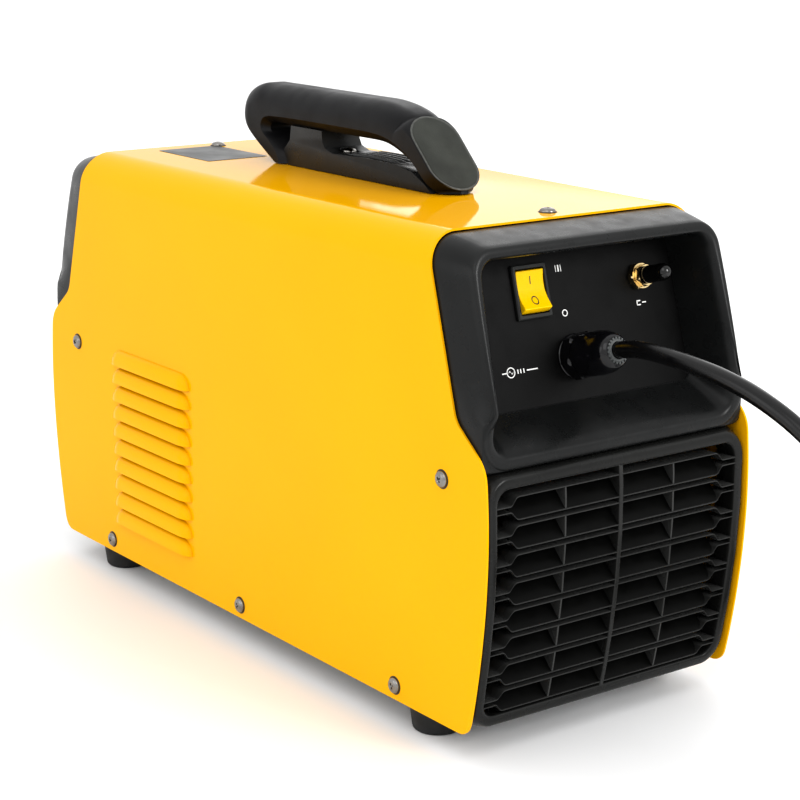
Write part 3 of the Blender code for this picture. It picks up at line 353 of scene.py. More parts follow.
def bevel(item, width, segments=2, angle=35):
    made = item.modifiers.new("rounded_edges", "BEVEL")
    made.width = width * MM
    made.segments = segments
    made.limit_method = "ANGLE"
    made.angle_limit = math.radians(angle)
    made.harden_normals = False


def boolean(item, mesh, operation):
    """Cuts a mesh from a piece, or joins or crosses the two, and applies it."""
    cutter = linked("cutter", mesh)
    made = item.modifiers.new("cut", "BOOLEAN")
    made.operation = operation
    made.solver = "EXACT"
    made.object = cutter
    apply_modifiers(item)
    bpy.data.objects.remove(cutter)


def apply_modifiers(item):
    bpy.context.view_layer.update()
    graph = bpy.context.evaluated_depsgraph_get()
    mesh = bpy.data.meshes.new_from_object(item.evaluated_get(graph))
    old = item.data
    looks = [slot.material for slot in item.material_slots]
    item.modifiers.clear()
    item.data = mesh
    mesh.materials.clear()
    for look in looks:
        mesh.materials.append(look)
    bpy.data.meshes.remove(old)


# ---------------------------------------------------------------- materials

def look(
    name, colour, roughness, metallic=0.0, spread=0.12, mottle=60.0, grain=0.0, grain_size=2500.0,
    edge_highlight=0.0, coat=0.0, rough_spread=0.08, specular=0.5,
):
    """A surface with a colour that varies a little, a fine moulded or painted grain, uneven gloss, and, if
    asked, a painted highlight on its sharp edges.
    """
    made = bpy.data.materials.new(name)
    made.use_nodes = True
    nodes = made.node_tree.nodes
    link = made.node_tree.links.new
    shader = nodes["Principled BSDF"]
    where = nodes.new("ShaderNodeTexCoord")

    def noise(scale, detail):
        found = nodes.new("ShaderNodeTexNoise")
        found.inputs["Scale"].default_value = scale
        found.inputs["Detail"].default_value = detail
        link(where.outputs["Object"], found.inputs["Vector"])
        return found.outputs["Fac"]

    def remapped(source, start, end, low, high):
        found = nodes.new("ShaderNodeMapRange")
        for socket, value in (("From Min", start), ("From Max", end), ("To Min", low), ("To Max", high)):
            found.inputs[socket].default_value = value
        link(source, found.inputs["Value"])
        return found.outputs["Result"]

    def tint(share, extra=0.0):
        return (*[min(1.0, c * share + extra) for c in colour], 1)

    ramp = nodes.new("ShaderNodeValToRGB")
    for element, place, share in zip(ramp.color_ramp.elements, (0.3, 0.7), (1 - spread, 1 + spread)):
        element.position = place
        element.color = tint(share)
    link(noise(mottle, 5.0), ramp.inputs["Fac"])
    colour_out = ramp.outputs["Color"]
    if edge_highlight:
        # a painted highlight: the sharp edges are painted lighter; sockets 0, 6 and 7 are the colour mix's
        # share and its two colours, and output 2 is its result
        geometry = nodes.new("ShaderNodeNewGeometry")
        mix = nodes.new("ShaderNodeMix")
        mix.data_type = "RGBA"
        mix.inputs[7].default_value = tint(3.0, 0.05)
        link(remapped(geometry.outputs["Pointiness"], 0.51, 0.60, 0.0, edge_highlight), mix.inputs[0])
        link(colour_out, mix.inputs[6])
        colour_out = mix.outputs[2]
    link(colour_out, shader.inputs["Base Color"])
    smooth, rough = max(0.02, roughness - rough_spread), min(1.0, roughness + rough_spread)
    link(remapped(noise(mottle * 2.3, 4.0), 0.3, 0.7, smooth, rough), shader.inputs["Roughness"])
    shader.inputs["Metallic"].default_value = metallic
    shader.inputs["Specular IOR Level"].default_value = specular
    if coat:
        shader.inputs["Coat Weight"].default_value = coat
        shader.inputs["Coat Roughness"].default_value = 0.06
    if grain:
        bump = nodes.new("ShaderNodeBump")
        bump.inputs["Strength"].default_value = grain
        bump.inputs["Distance"].default_value = 0.0003
        link(noise(grain_size, 2.0), bump.inputs["Height"])
        link(bump.outputs["Normal"], shader.inputs["Normal"])
    return made


YELLOW = look(
    "yellow_paint", (0.86, 0.425, 0.0005), 0.07, spread=0.02, mottle=9.0, grain=0.012, grain_size=900.0,
    rough_spread=0.02, specular=0.08,
)
BLACK = look(
    "black_moulding", (0.0085, 0.0090, 0.0090), 0.30, spread=0.10, mottle=35.0, grain=0.08, grain_size=2600.0,
    edge_highlight=0.35, specular=0.22,
)
GRILLE_BLACK = look(
    "grille_moulding", (0.0090, 0.0092, 0.0086), 0.26, spread=0.10, mottle=35.0, grain=0.06,
    grain_size=2600.0, edge_highlight=0.45, specular=0.2,
)
PANEL = look(
    "panel_sheet", (0.0040, 0.0040, 0.0040), 0.45, spread=0.08, mottle=40.0, grain=0.1, grain_size=1800.0,
    specular=0.12,
)
GRIP = look(
    "grip_moulding", (0.0040, 0.0040, 0.0048), 0.42, mottle=30.0, grain=0.2, grain_size=2100.0, edge_highlight=0.5,
    specular=0.2,
)
PAD = look(
    "grip_pad", (0.036, 0.039, 0.034), 0.55, spread=0.22, mottle=55.0, grain=0.4, grain_size=1500.0,
    specular=0.2,
)
RUBBER = look("foot_rubber", (0.011,) * 3, 0.72, spread=0.2, mottle=70.0, grain=0.3, grain_size=1500.0)
CORD = look(
    "cord_sheath", (0.0040, 0.0040, 0.0042), 0.22, spread=0.15, mottle=45.0, grain=0.02, grain_size=1500.0,
    specular=0.4,
)
NYLON = look("gland_nylon", (0.0035, 0.0035, 0.0045), 0.16, grain=0.01, grain_size=1800.0, specular=0.45)
CAP = look("cap_rubber", (0.003, 0.003, 0.003), 0.1, spread=0.1, grain=0.01, grain_size=1800.0)
BRASS = look(
    "brass", (0.80, 0.62, 0.33), 0.18, metallic=1.0, spread=0.10, mottle=120.0, grain=0.02, grain_size=1500.0
)
# the steel's colour is darkened as a painted dark reflection, for the dark surroundings that the screws mirror
STEEL = look("screw_steel", (0.26, 0.25, 0.235), 0.20, metallic=1.0, spread=0.14, mottle=300.0, grain=0.08)
ZINC = look("zinc_sheet", (0.42, 0.43, 0.44), 0.38, metallic=1.0, grain=0.1)
# a darker copy of the grille's black moulding: painted shade on the blades, which lie in shadow inside the
# cells
BLADE = look("grille_blades", (0.0024, 0.0025, 0.0022), 0.40, spread=0.15, mottle=50.0, specular=0.1)
ROCKER = look("rocker_yellow", (1.0, 0.60, 0.0), 0.24, spread=0.03, grain=0.02, specular=0.2)
FRAME_GREY = look(
    "switch_frame", (0.020, 0.021, 0.020), 0.45, spread=0.08, grain=0.1, grain_size=2600.0, specular=0.25
)
INK = look("black_ink", (0.012, 0.012, 0.012), 0.5, spread=0.05, mottle=80.0)
WHITE = look("white_ink", (0.82, 0.82, 0.80), 0.5, spread=0.04, mottle=120.0)
LABEL = look("label_film", (0.03, 0.031, 0.03), 0.36, spread=0.1, mottle=18.0, grain=0.05, grain_size=1200.0)
SEAL = look("grey_seal", (0.075, 0.08, 0.08), 0.55, mottle=80.0, grain=0.2)
BOARD = look("circuit_board", (0.014, 0.10, 0.040), 0.42, spread=0.35, mottle=160.0, grain=0.2)
COPPER = look(
    "winding", (0.50, 0.20, 0.07), 0.30, metallic=1.0, spread=0.2, mottle=200.0, grain=0.6, grain_size=500.0
)
IRON = look("core_iron", (0.10, 0.085, 0.07), 0.55, metallic=0.7, spread=0.3, mottle=120.0, grain=0.5)
ALUMINIUM = look("aluminium", (0.68, 0.69, 0.70), 0.34, metallic=1.0, spread=0.06, mottle=90.0, grain=0.2)
WINDOW = look("display_window", (0.020, 0.006, 0.006), 0.07, spread=0.1, mottle=20.0, coat=0.4)
KNOB = look("knob_moulding", (0.014, 0.014, 0.015), 0.40, spread=0.1, mottle=50.0, grain=0.25, edge_highlight=0.4)
# a lighter grey than the pad: a painted highlight along the rounded rim of the pad
PAD_EDGE_HIGHLIGHT = look("pad_edge_highlight", (0.060, 0.063, 0.057), 0.45, spread=0.3, mottle=300.0)
LIT = look("display_bars", (0.45, 0.02, 0.012), 0.3, spread=0.05, mottle=80.0)
SLEEVE = look("capacitor_sleeve", (0.015, 0.02, 0.07), 0.35, mottle=40.0, grain=0.05)


# ---------------------------------------------------------------- cord, first

CORD_R = 4.8
COIL_CENTRE = (-150.0, 360.0)
COIL_RADII = [64.6, 55.0, 45.4]
COIL_START = 90.0             # degrees; the turns run anticlockwise seen from above
COIL_STEPS = 24
CORD_ROUTE = [
    (3.0, 241.9, 222.8), (3.0, 254.0, 225.4), (3.0, 268.0, 226.4), (2.8, 284.0, 226.0), (2.4, 300.0, 224.8),
    (1.8, 318.0, 222.6), (1.0, 336.0, 219.0), (0.0, 353.0, 213.6), (-2.0, 369.0, 206.0), (-5.0, 385.0, 195.0),
    (-9.5, 400.0, 180.5), (-15.5, 413.0, 163.0), (-22.5, 424.0, 143.0), (-31.0, 432.5, 121.0),
    (-40.0, 438.5, 98.0), (-50.0, 442.5, 75.0), (-61.0, 444.5, 53.0), (-72.5, 444.0, 33.0),
    (-84.5, 441.0, 17.0), (-97.0, 434.8, 8.2), (-108.0, 430.0, 5.3), (-122.0, 426.4, 4.9),
    (-137.0, 424.9, 4.9),
]
PLUG_X = -214.6
PLUG_Y = 323.0
PLUG_Z = 18.8
PIN_X = 9.5
CORD_SPACING = 7.0


def smooth_route(points):
    route = [Vector(p) for p in points]
    found = [route[0]]
    for i in range(len(route) - 1):
        steps = max(1, round((route[i + 1] - route[i]).length / CORD_SPACING))
        found += smooth_span(route, i, steps + 1)[1:]
    return found


def coil_points():
    """Turns that lie on the floor from the outside in, then step up and go out again on top."""
    outer, middle, inner = COIL_RADII
    low, high = CORD_R + 0.1, 3 * CORD_R + 0.2
    turns = [
        (outer, middle, low, low), (middle, inner, low, low), (inner, inner, low, high),
        (inner, middle, high, high), (middle, outer, high, high),
    ]
    points = []
    for r0, r1, z0, z1 in turns:
        for k in range(COIL_STEPS):
            t = k / COIL_STEPS
            # each turn keeps its radius most of the way, and steps over near its end
            shift = ease(max(0.0, (t - 0.55) / 0.45))
            angle = math.radians(COIL_START + 360.0 * t)
            points.append(polar(r0 + (r1 - r0) * shift, angle, z0 + (z1 - z0) * shift, centre=COIL_CENTRE))
    # a last quarter turn ends where the plug's tail begins
    for k in range(7):
        points.append(polar(outer, math.radians(COIL_START + 90.0 * k / 6), high, centre=COIL_CENTRE))
    return points


def make_cord():
    tail = [(348.0, 3 * CORD_R + 1.2), (336.0, 18.0), (326.0, PLUG_Z), (PLUG_Y + 0.4, PLUG_Z)]
    points = smooth_route(CORD_ROUTE + coil_points() + along_x(tail, PLUG_X))
    curve = bpy.data.curves.new("mains_cord", "CURVE")
    curve.dimensions = "3D"
    curve.bevel_depth = CORD_R * MM
    curve.bevel_resolution = 6
    curve.use_fill_caps = True
    spline = curve.splines.new("POLY")
    spline.points.add(len(points) - 1)
    for target, point in zip(spline.points, points):
        target.co = (*metres(point), 1.0)
    cord = linked("mains_cord", curve)
    curve.materials.append(CORD)
    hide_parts("power_cord", "cord_coil")
    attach(cord, "chassis")
    return cord, sum((Vector(a) - Vector(b)).length for a, b in zip(points, points[1:])) * MM


def make_plug():
    profile = [
        (0, 85.5), (16.4, 85.5), (17.4, 85.1), (18.2, 84.0), (18.4, 82.5), (18.4, 61.0), (18.0, 57.0),
        (16.4, 51.5), (13.6, 46.5), (10.6, 43.0), (9.2, 40.0), (8.6, 37.0),
    ]
    # a ribbed strain relief that narrows to the cord
    for k in range(7):
        z = 35.5 - k * 4.6
        r = 8.2 - k * 0.38
        profile += [(r, z), (r, z - 2.4), (r - 1.1, z - 2.8), (r - 1.1, z - 4.2)]
    profile += [(5.4, 3.0), (5.3, 0.6), (5.0, 0.0), (0, 0.0)]
    place = aimed((PLUG_X, PLUG_Y, PLUG_Z), (0, -1, 0))
    body = turned("plug_body", profile, 40, CORD, place, replaces=("plug",), angle=40)
    bm = bmesh.new()
    for x in (-PIN_X, PIN_X):
        add_cylinder(bm, 2.4, (x, 0, 84.0), (x, 0, 101.6), 24)
        add_cylinder(bm, 2.4, (x, 0, 101.6), (x, 0, 103.8), 24, end_radius=1.2)
    return body, placed("plug_pins", new_mesh("plug_pins", bm), STEEL, place)


def make_tie():
    """A narrow strap round all the turns of the coil."""
    angle = math.radians(-60)
    outward = Vector((math.cos(angle), math.sin(angle), 0))
    along = Vector((-outward.y, outward.x, 0))
    inner, outer = 39.9, 70.1
    low, top = 0.1, 4 * CORD_R + 0.9
    middle = Vector(((outer + inner) / 2, (top + low) / 2))
    section = round_corners([(inner, low), (outer, low), (outer, top), (inner, top)], 4.0, 5, closed=True)
    loops = []
    for side, grow in ((-2.2, 0.0), (2.2, 0.0), (2.2, -0.8), (-2.2, -0.8)):
        loop = []
        for point in section:
            away = (Vector(point) - middle) * (1 + grow / 14.0)
            flat = outward * (middle.x + away.x) + along * side
            loop.append((COIL_CENTRE[0] + flat.x, COIL_CENTRE[1] + flat.y, middle.y + away.y))
        loops.append(loop)
    return add_piece("coil_tie", skin_mesh("coil_tie", loops, closed=True), NYLON)


cord_piece, cord_length = make_cord()
plug_body, plug_pins = make_plug()
coil_tie = make_tie()


# ---------------------------------------------------------------- cover

COVER_BEND = 20.0
COVER_END = 262.0             # how far the sheet reaches before its ends are trimmed
LOUVRE_COUNT = 10
LOUVRE_PITCH = 12.33
LOUVRE_TOP_Z = 152.3
LOUVRE_Y = (-156.5, -57.0)
LOUVRE_RISE = 10.2
LOUVRE_PROUD = 4.9
LOUVRE_END = 12.0
SIDE_SCREWS = {
    "rear_upper": (207.1, 157.4),
    "rear_lower": (164.9, 24.9),
    "middle_lower": (0.0, 24.9),
    "front_lower": (-164.9, 24.9),
    "front_upper": (-207.1, 157.4),
}
TOP_SCREW_Y = 175.9
HANDLE_SCREWS = {"front": (-18.0, 302.2), "rear": (62.0, 300.4)}


def side_outline():
    """The side panel's outline, with small rounded corners."""
    half = [(190.0 - 6 * SLOPE, COVER_TOP + 6)] + SIDE_EDGE[1:]
    whole = half + [(-y, z) for y, z in reversed(half)]
    sharp = {COVER_TOP + 6: 0, 191.8: 5, 171.2: 9, 16.3: 9}
    return round_corners(whole, [sharp.get(z, 14) for _, z in whole], 6, closed=True)


def louvre_pod(bm_into, side, lip, wall):
    """A half capsule cut off flat at its lip; the one with a wall is the hollow inside it."""
    y_low, y_high = LOUVRE_Y
    middle = (y_low + y_high) / 2
    straight = (y_high - y_low) / 2 - LOUVRE_END
    bm = bmesh.new()
    bmesh.ops.create_uvsphere(bm, u_segments=32, v_segments=20, radius=1.0)
    for vert in bm.verts:
        z, x, y = vert.co
        along = y * (LOUVRE_END - wall)
        along += math.copysign(straight, y) if abs(y) > 0.01 else 0.0
        out = HALF_W * side + x * (LOUVRE_PROUD - wall)
        vert.co = metres((out, middle + along, lip + z * (LOUVRE_RISE - wall)))
    floor = lip - (0.6 if wall else 0.0)
    back = side * (HALF_W - SHEET * (1.6 if wall else 0.5))
    for point, outward in (((0, 0, floor), (0, 0, -1)), ((back, 0, 0), (-side, 0, 0))):
        geom = [*bm.verts, *bm.edges, *bm.faces]
        made = bmesh.ops.bisect_plane(
            bm, geom=geom, dist=MERGE, plane_co=metres(point), plane_no=outward, clear_outer=True
        )
        rim = [e for e in made["geom_cut"] if isinstance(e, bmesh.types.BMEdge)]
        bmesh.ops.holes_fill(bm, edges=rim)
    pod = new_mesh("pod", bm)
    bm_into.from_mesh(pod)
    bpy.data.meshes.remove(pod)


def make_cover():
    """The folded sheet, trimmed to its outline, with the louvres pressed out of it."""
    bend = arc((HALF_W - COVER_BEND, COVER_TOP - COVER_BEND), COVER_BEND, 0, 90, 24)
    section = [(HALF_W, 8.0)] + bend
    section = section + [(-x, z) for x, z in reversed(section)]
    bm = bmesh.new()
    first = [bm.verts.new(metres((x, -COVER_END, z))) for x, z in section]
    edges = [bm.edges.new((a, b)) for a, b in zip(first, first[1:])]
    made = bmesh.ops.extrude_edge_only(bm, edges=edges)
    moved = [v for v in made["geom"] if isinstance(v, bmesh.types.BMVert)]
    bmesh.ops.translate(bm, verts=moved, vec=metres((0, 2 * COVER_END, 0)))
    bm.normal_update()
    if sum(f.normal.x * f.calc_center_median().x for f in bm.faces) < 0:
        bmesh.ops.reverse_faces(bm, faces=bm.faces)
    cover = add_piece("cover_sheet", plain_mesh("cover_sheet", bm), YELLOW, replaces=("cover",), angle=28)
    shell = cover.modifiers.new("sheet", "SOLIDIFY")
    shell.thickness = SHEET * MM
    shell.offset = -1.0
    apply_modifiers(cover)
    boolean(cover, slab_mesh("side_shape", side_outline(), -110, 110), "INTERSECT")
    for wall, operation in ((0.0, "UNION"), (SHEET, "DIFFERENCE")):
        pods = bmesh.new()
        for side in (-1, 1):
            for index in range(LOUVRE_COUNT):
                louvre_pod(pods, side, LOUVRE_TOP_Z - LOUVRE_PITCH * index, wall)
        boolean(cover, plain_mesh("pods", pods), operation)
    cover.data.shade_smooth()
    cover.data.set_sharp_from_angle(angle=math.radians(32))
    bevel(cover, 0.35, 2, 50)


def make_top_label():
    """A plain dark film stuck on the top near the front, with no lettering."""
    outline = round_corners([(2, -175), (48, -175), (48, -110), (2, -110)], 2.0, 4, closed=True)
    loops = [[(x, y, COVER_TOP + proud) for x, y in outline] for proud in (0.02, 0.22)]
    add_piece("top_label", skin_mesh("top_label", loops), LABEL)


make_cover()
make_top_label()


# ---------------------------------------------------------------- lofted frames

BEZEL_TOP = 287.9
BEZEL_BOTTOM = 166.2
BEZEL_HALF_W = 95.4
GRILLE_TOP = 165.2
GRILLE_BOTTOM = 17.9
GRILLE_HALF_W = 95.3
CELL_TOP = 152.2
CELL_PITCH = 16.15
CELL_H = 12.6
CELL_COUNT = 8
CELL_REACH = 89.0             # half the length of a cell with its necks
CELL_MIDDLES = [CELL_TOP - CELL_PITCH * index - CELL_H / 2 for index in range(CELL_COUNT)]
# how far each line of a cell's wall lies outside its middle, and how deep
CELL_WALL = ((0.5, 12.5), (0.5, 0.45), (0.28, 0.05), (-0.28, 0.05), (-0.5, 0.45), (-0.5, 12.5))
BLADE_HALF = 76.5
SIDE_RIB_X = 40.0


def frame_loop(half_top, half_bottom, top, bottom, r_top, r_bottom, y_at, sides=None):
    """A rounded trapezium; sides gives heights, or (height, half width), down each side."""
    def half(z):
        return half_top + (half_bottom - half_top) * (top - z) / (top - bottom)

    first = top - r_top
    last = bottom + r_bottom
    if sides is None:
        sides = [first + (last - first) * (i + 1) / 10 for i in range(9)]
    stops = [(z[1], z[0]) if isinstance(z, tuple) else (half(z), z) for z in sides]
    line = [Vector((*p, 0)) for p in [(half_top, first), *stops, (half_bottom, last)]]
    right = arc((half_top - r_top, first), r_top, 90, 0, 10)
    for i in range(len(line) - 1):
        right += [(p.x, p.y) for p in smooth_span(line, i, 5)[1:-1]]
        if i < len(line) - 2:
            right.append((line[i + 1].x, line[i + 1].y))
    right += arc((half_bottom - r_bottom, last), r_bottom, 0, -90, 10)
    left = [(-x, z) for x, z in reversed(right)]
    return [(x, y_at(z), z) for x, z in right + left]


def add_frame(name, rows, material, node, end=1):
    """A piece lofted through closed loops, each given with its crease, and subdivided."""
    mesh = skin_mesh(name, [loop for loop, _ in rows], True, [crease for _, crease in rows])
    if end < 0:
        mesh.transform(Matrix.Rotation(math.pi, 4, "Z"))
    item = add_piece(name, mesh, material, replaces=(node,), angle=180)
    made = item.modifiers.new("subdivision", "SUBSURF")
    made.levels = made.render_levels = 1


def bezel_rows():
    """The bezel's loops, from its skirt over the rim and down into the recess, and back behind it."""
    flank = [258, 240, 222, 210, 203, 197, 190, 183, 176]
    collar = [252, 236, 221, 210, 204.5, 198.8, 193, 188, 184.5]
    ridge = [
        (256, 90.3), (243, 90.6), (227, 90.7), (215, 90.6), (207, 90.3), (198.5, 90.6), (194.5, 93.6),
        (190.5, 94.7), (186.5, 94.9),
    ]
    inner_ridge = [(z, x - 0.7) for z, x in ridge]

    def lip(z):
        return edge_y(max(z, 192)) - 11

    def skirt(z):
        return min(edge_y(z), 240.0) - 1.0

    def collar_at(z):
        return edge_y(z) + 4.2 if z > 210 else min(239.6, 220.8 + (210 - z) * 1.06)

    def deeper(amount):
        return lambda z: rim_y(z) - amount

    def flat(proud):
        return lambda z: panel_y(z, proud)

    half, top, bottom = BEZEL_HALF_W, BEZEL_TOP, BEZEL_BOTTOM
    return [
        (frame_loop(half, half, top, bottom, 18.6, 4, lip, flank), 1.0),
        (frame_loop(half, half, top, bottom, 18.6, 4, skirt, flank), 0.7),
        (frame_loop(half - 0.1, half - 0.3, top - 0.4, bottom + 0.1, 18.2, 17, collar_at, collar), 0.35),
        (frame_loop(89.6, 95.1, 283.1, bottom + 0.2, 14.3, 18.3, deeper(1.2), ridge), 0.0),
        (frame_loop(89.2, 94.7, 282.5, bottom + 0.8, 14, 17.6, deeper(0.1), inner_ridge), 0.2),
        (frame_loop(85.2, 89.2, 278.3, 172.4, 11.0, 12.6, deeper(0.2)), 0.2),
        (frame_loop(84.4, 88.5, 277.4, 173.3, 10.4, 12, deeper(0.9)), 0.0),
        (frame_loop(82.2, 86.0, 275.4, 176.6, 9, 10, deeper(3.9)), 0.3),
        (frame_loop(77.8, 79.7, 272.7, 189.3, 7, 6, flat(GAP + 0.3)), 0.5),
        (frame_loop(77.6, 79.5, 272.5, 189.5, 7, 6, flat(GAP)), 0.9),
        (frame_loop(83.0, 85.0, 278.5, 182.5, 9, 6, flat(GAP)), 1.0),
        (frame_loop(83.0, 85.0, 278.5, 182.5, 9, 6, flat(GAP + 2.2)), 1.0),
        (frame_loop(80.4, 82.3, 275.2, 186.6, 7, 6, flat(GAP + 2.4)), 0.5),
        (frame_loop(84.8, 88.6, 278.2, 173.0, 9, 10, deeper(6.5)), 0.3),
        (frame_loop(89.2, 91.5, 282.4, 170.4, 12, 12, deeper(9)), 0.3),
        (frame_loop(half - 2.6, half - 2.6, 285.0, 169.0, 16, 3, lambda z: skirt(z) - 3), 0.5),
        (frame_loop(half - 2.6, half - 2.6, 285.0, 169.0, 16, 3, lip), 1.0),
    ]


def grille_y(inset):
    return lambda z: edge_y(z) - 1.5 - inset


def rim_rows(depth):
    half, top, low = GRILLE_HALF_W, GRILLE_TOP, GRILLE_BOTTOM
    return [
        (frame_loop(half, half - 1.0, top, low, 6, 6, grille_y(depth)), 1.0),
        (frame_loop(half, half - 1.0, top, low, 14, 14, grille_y(4)), 0.5),
        (frame_loop(94.0, 93.0, 163.8, 18.3, 14.3, 14.3, grille_y(0.5)), 0.0),
        (frame_loop(93.2, 92.2, 163.0, 19.0, 13.6, 13.6, grille_y(0)), 0.2),
        (frame_loop(89.2, 88.4, 158.2, 23.6, 10, 10, grille_y(0)), 0.2),
        (frame_loop(88.3, 87.5, 157.3, 24.5, 9.3, 9.3, grille_y(0.6)), 0.0),
        (frame_loop(87.9, 87.1, 156.9, 24.9, 9, 9, grille_y(1.6)), 0.2),
        (frame_loop(87.8, 87.0, 156.8, 25.0, 9, 9, grille_y(depth)), 1.0),
    ]


def cell_outline(middle, grow):
    """A long cell with rounded ends that narrow to a neck; grow moves the line outwards."""
    full = CELL_H / 2 + grow
    neck = 1.65 + grow
    right = [(CELL_REACH, neck), (77.9, neck), (76.2, full * 0.62), (74.0, full)]
    left = [(-x, z) for x, z in reversed(right)]
    top = round_corners(right + left, [0, 3.0, 3.2, 4.5, 4.5, 3.2, 3.0, 0])
    low = [(x, -z) for x, z in reversed(top)]
    return [(x, middle + z) for x, z in top + low]


def make_grille():
    """The rear air outlet: a rim, eight thin-walled cells with slanted blades, and three ribs."""
    add_frame("grille_rim", rim_rows(15.0), GRILLE_BLACK, "rear_grille")
    walls, blades, ribs = bmesh.new(), bmesh.new(), bmesh.new()
    wall_y = grille_y(0.9)
    for middle in CELL_MIDDLES:
        loops = []
        for grow, depth in CELL_WALL:
            loops.append([(x, wall_y(z) - depth, z) for x, z in cell_outline(middle, grow)])
        part = skin_mesh("cell", loops, closed=True)
        walls.from_mesh(part)
        bpy.data.meshes.remove(part)
    add_piece("grille_cells", plain_mesh("grille_cells", walls), GRILLE_BLACK, angle=40)

    for middle in CELL_MIDDLES:
        low = middle - CELL_H / 2
        y = grille_y(1.3)(low)
        blade = [(y, low + 0.3), (y - 12.4, low + 12.9), (y - 13.2, low + 12.2), (y - 1.0, low - 0.2)]
        skin(blades, [along_x(blade, -BLADE_HALF), along_x(blade, BLADE_HALF)])
    # the blades carry the darker copy of the grille's black, painted shade
    add_piece("grille_blades", new_mesh("grille_blades", blades), BLADE, angle=30)

    face = grille_y(0)
    for x in (-SIDE_RIB_X, SIDE_RIB_X):
        for middle in CELL_MIDDLES:
            low, high = middle - 6.0, middle + 6.0
            outline = [(face(z) - 1.3, z) for z in (low, middle, high)]
            outline += [(face(high) - 13, high), (face(low) - 13, low)]
            skin(ribs, [along_x(outline, x - 0.55), along_x(outline, x + 0.55)])
    add_piece("grille_side_ribs", new_mesh("grille_side_ribs", ribs), GRILLE_BLACK, angle=30)

    heights = [24.0 + (157.5 - 24.0) * i / 24 for i in range(25)]
    outline = [(face(z) - 0.55, z) for z in heights] + [(face(z) - 13, z) for z in reversed(heights)]
    mesh = slab_mesh("grille_middle_rib", outline, -1.45, 1.45)
    bevel(add_piece("grille_middle_rib", mesh, GRILLE_BLACK, angle=30), 0.45, 2, 60)


add_frame("rear_bezel_moulding", bezel_rows(), BLACK, "rear_bezel")
add_frame("front_bezel_moulding", bezel_rows(), BLACK, "front_bezel", -1)
make_grille()


# ---------------------------------------------------------------- rear fittings

SWITCH = (28.0, 250.3)
GAS = (-52.0, 250.0)
GLAND = (3.0, 212.4)
SWITCH_PLACE = panel_frame(*SWITCH)
ROCKER_PLACE = panel_frame(*SWITCH, -1.0)
GAS_PLACE = panel_frame(*GAS)
GLAND_PLACE = panel_frame(*GLAND)
ROCKER_R = 12.2
ROCKER_HALF_W = 9.7
ROCKER_SPAN = 27.0            # degrees from level up to the ends of its face
ROCKER_MIDDLE = (0.0, 2.7)
ROCKER_SAG = 0.55
ROCKER_TURN = Matrix.Rotation(math.radians(-9.0), 2)
ROCKER_LOWER = arc((0, 0), ROCKER_R, 180 - ROCKER_SPAN, 190, 8)
ROCKER_UPPER = arc((0, 0), ROCKER_R, -10, ROCKER_SPAN, 8)
PRINT_LIFT = 0.03             # how far the print stands off its panel
PRINT_H = 0.06


def smooth_group():
    """Smooth shading except across edges sharper than 32 degrees."""
    group = bpy.data.node_groups.new("smooth_by_angle", "GeometryNodeTree")
    for in_out in ("INPUT", "OUTPUT"):
        group.interface.new_socket("Geometry", in_out=in_out, socket_type="NodeSocketGeometry")
    nodes = group.nodes
    start = nodes.new("NodeGroupInput")
    end = nodes.new("NodeGroupOutput")
    faces = nodes.new("GeometryNodeSetShadeSmooth")
    faces.domain = "FACE"
    edges = nodes.new("GeometryNodeSetShadeSmooth")
    edges.domain = "EDGE"
    angle = nodes.new("GeometryNodeInputMeshEdgeAngle")
    less = nodes.new("FunctionNodeCompare")
    less.data_type = "FLOAT"
    less.operation = "LESS_EQUAL"
    less.inputs["B"].default_value = math.radians(32)
    link = group.links.new
    link(start.outputs[0], faces.inputs["Geometry"])
    link(faces.outputs["Geometry"], edges.inputs["Geometry"])
    link(angle.outputs["Unsigned Angle"], less.inputs["A"])
    link(less.outputs["Result"], edges.inputs["Shade Smooth"])
    link(edges.outputs["Geometry"], end.inputs[0])
    return group


SMOOTH_BY_ANGLE = smooth_group()


def dress(node, material, width, segments=2, angle=35):
    """Gives a node of the model its material and softens its edges."""
    item = NODES[node]
    item.data.materials.clear()
    item.data.materials.append(material)
    weld = item.modifiers.new("weld", "WELD")
    weld.merge_threshold = 0.000005
    flat = item.modifiers.new("flat", "DECIMATE")
    flat.decimate_type = "DISSOLVE"
    flat.angle_limit = math.radians(0.6)
    bevel(item, width, segments, angle)
    item.modifiers.new("shading", "NODES").node_group = SMOOTH_BY_ANGLE


def rocker_face(start, end, t):
    """A point on one half of the rocker's face: a shallow hollow between its two ends."""
    a, b = Vector(start), Vector(end)
    return (a.x + (b.x - a.x) * t, a.y + (b.y - a.y) * t - ROCKER_SAG * math.sin(math.pi * t))


def on_rocker(y, x=0.0, proud=0.05):
    """The place on the rocker's face at a height y."""
    end = ROCKER_UPPER[-1] if y > 0 else ROCKER_LOWER[0]
    across, out = rocker_face(ROCKER_MIDDLE, end, y / Vector(end).x)
    point = ROCKER_TURN @ Vector((across, out + proud))
    return (x, point.x, point.y)


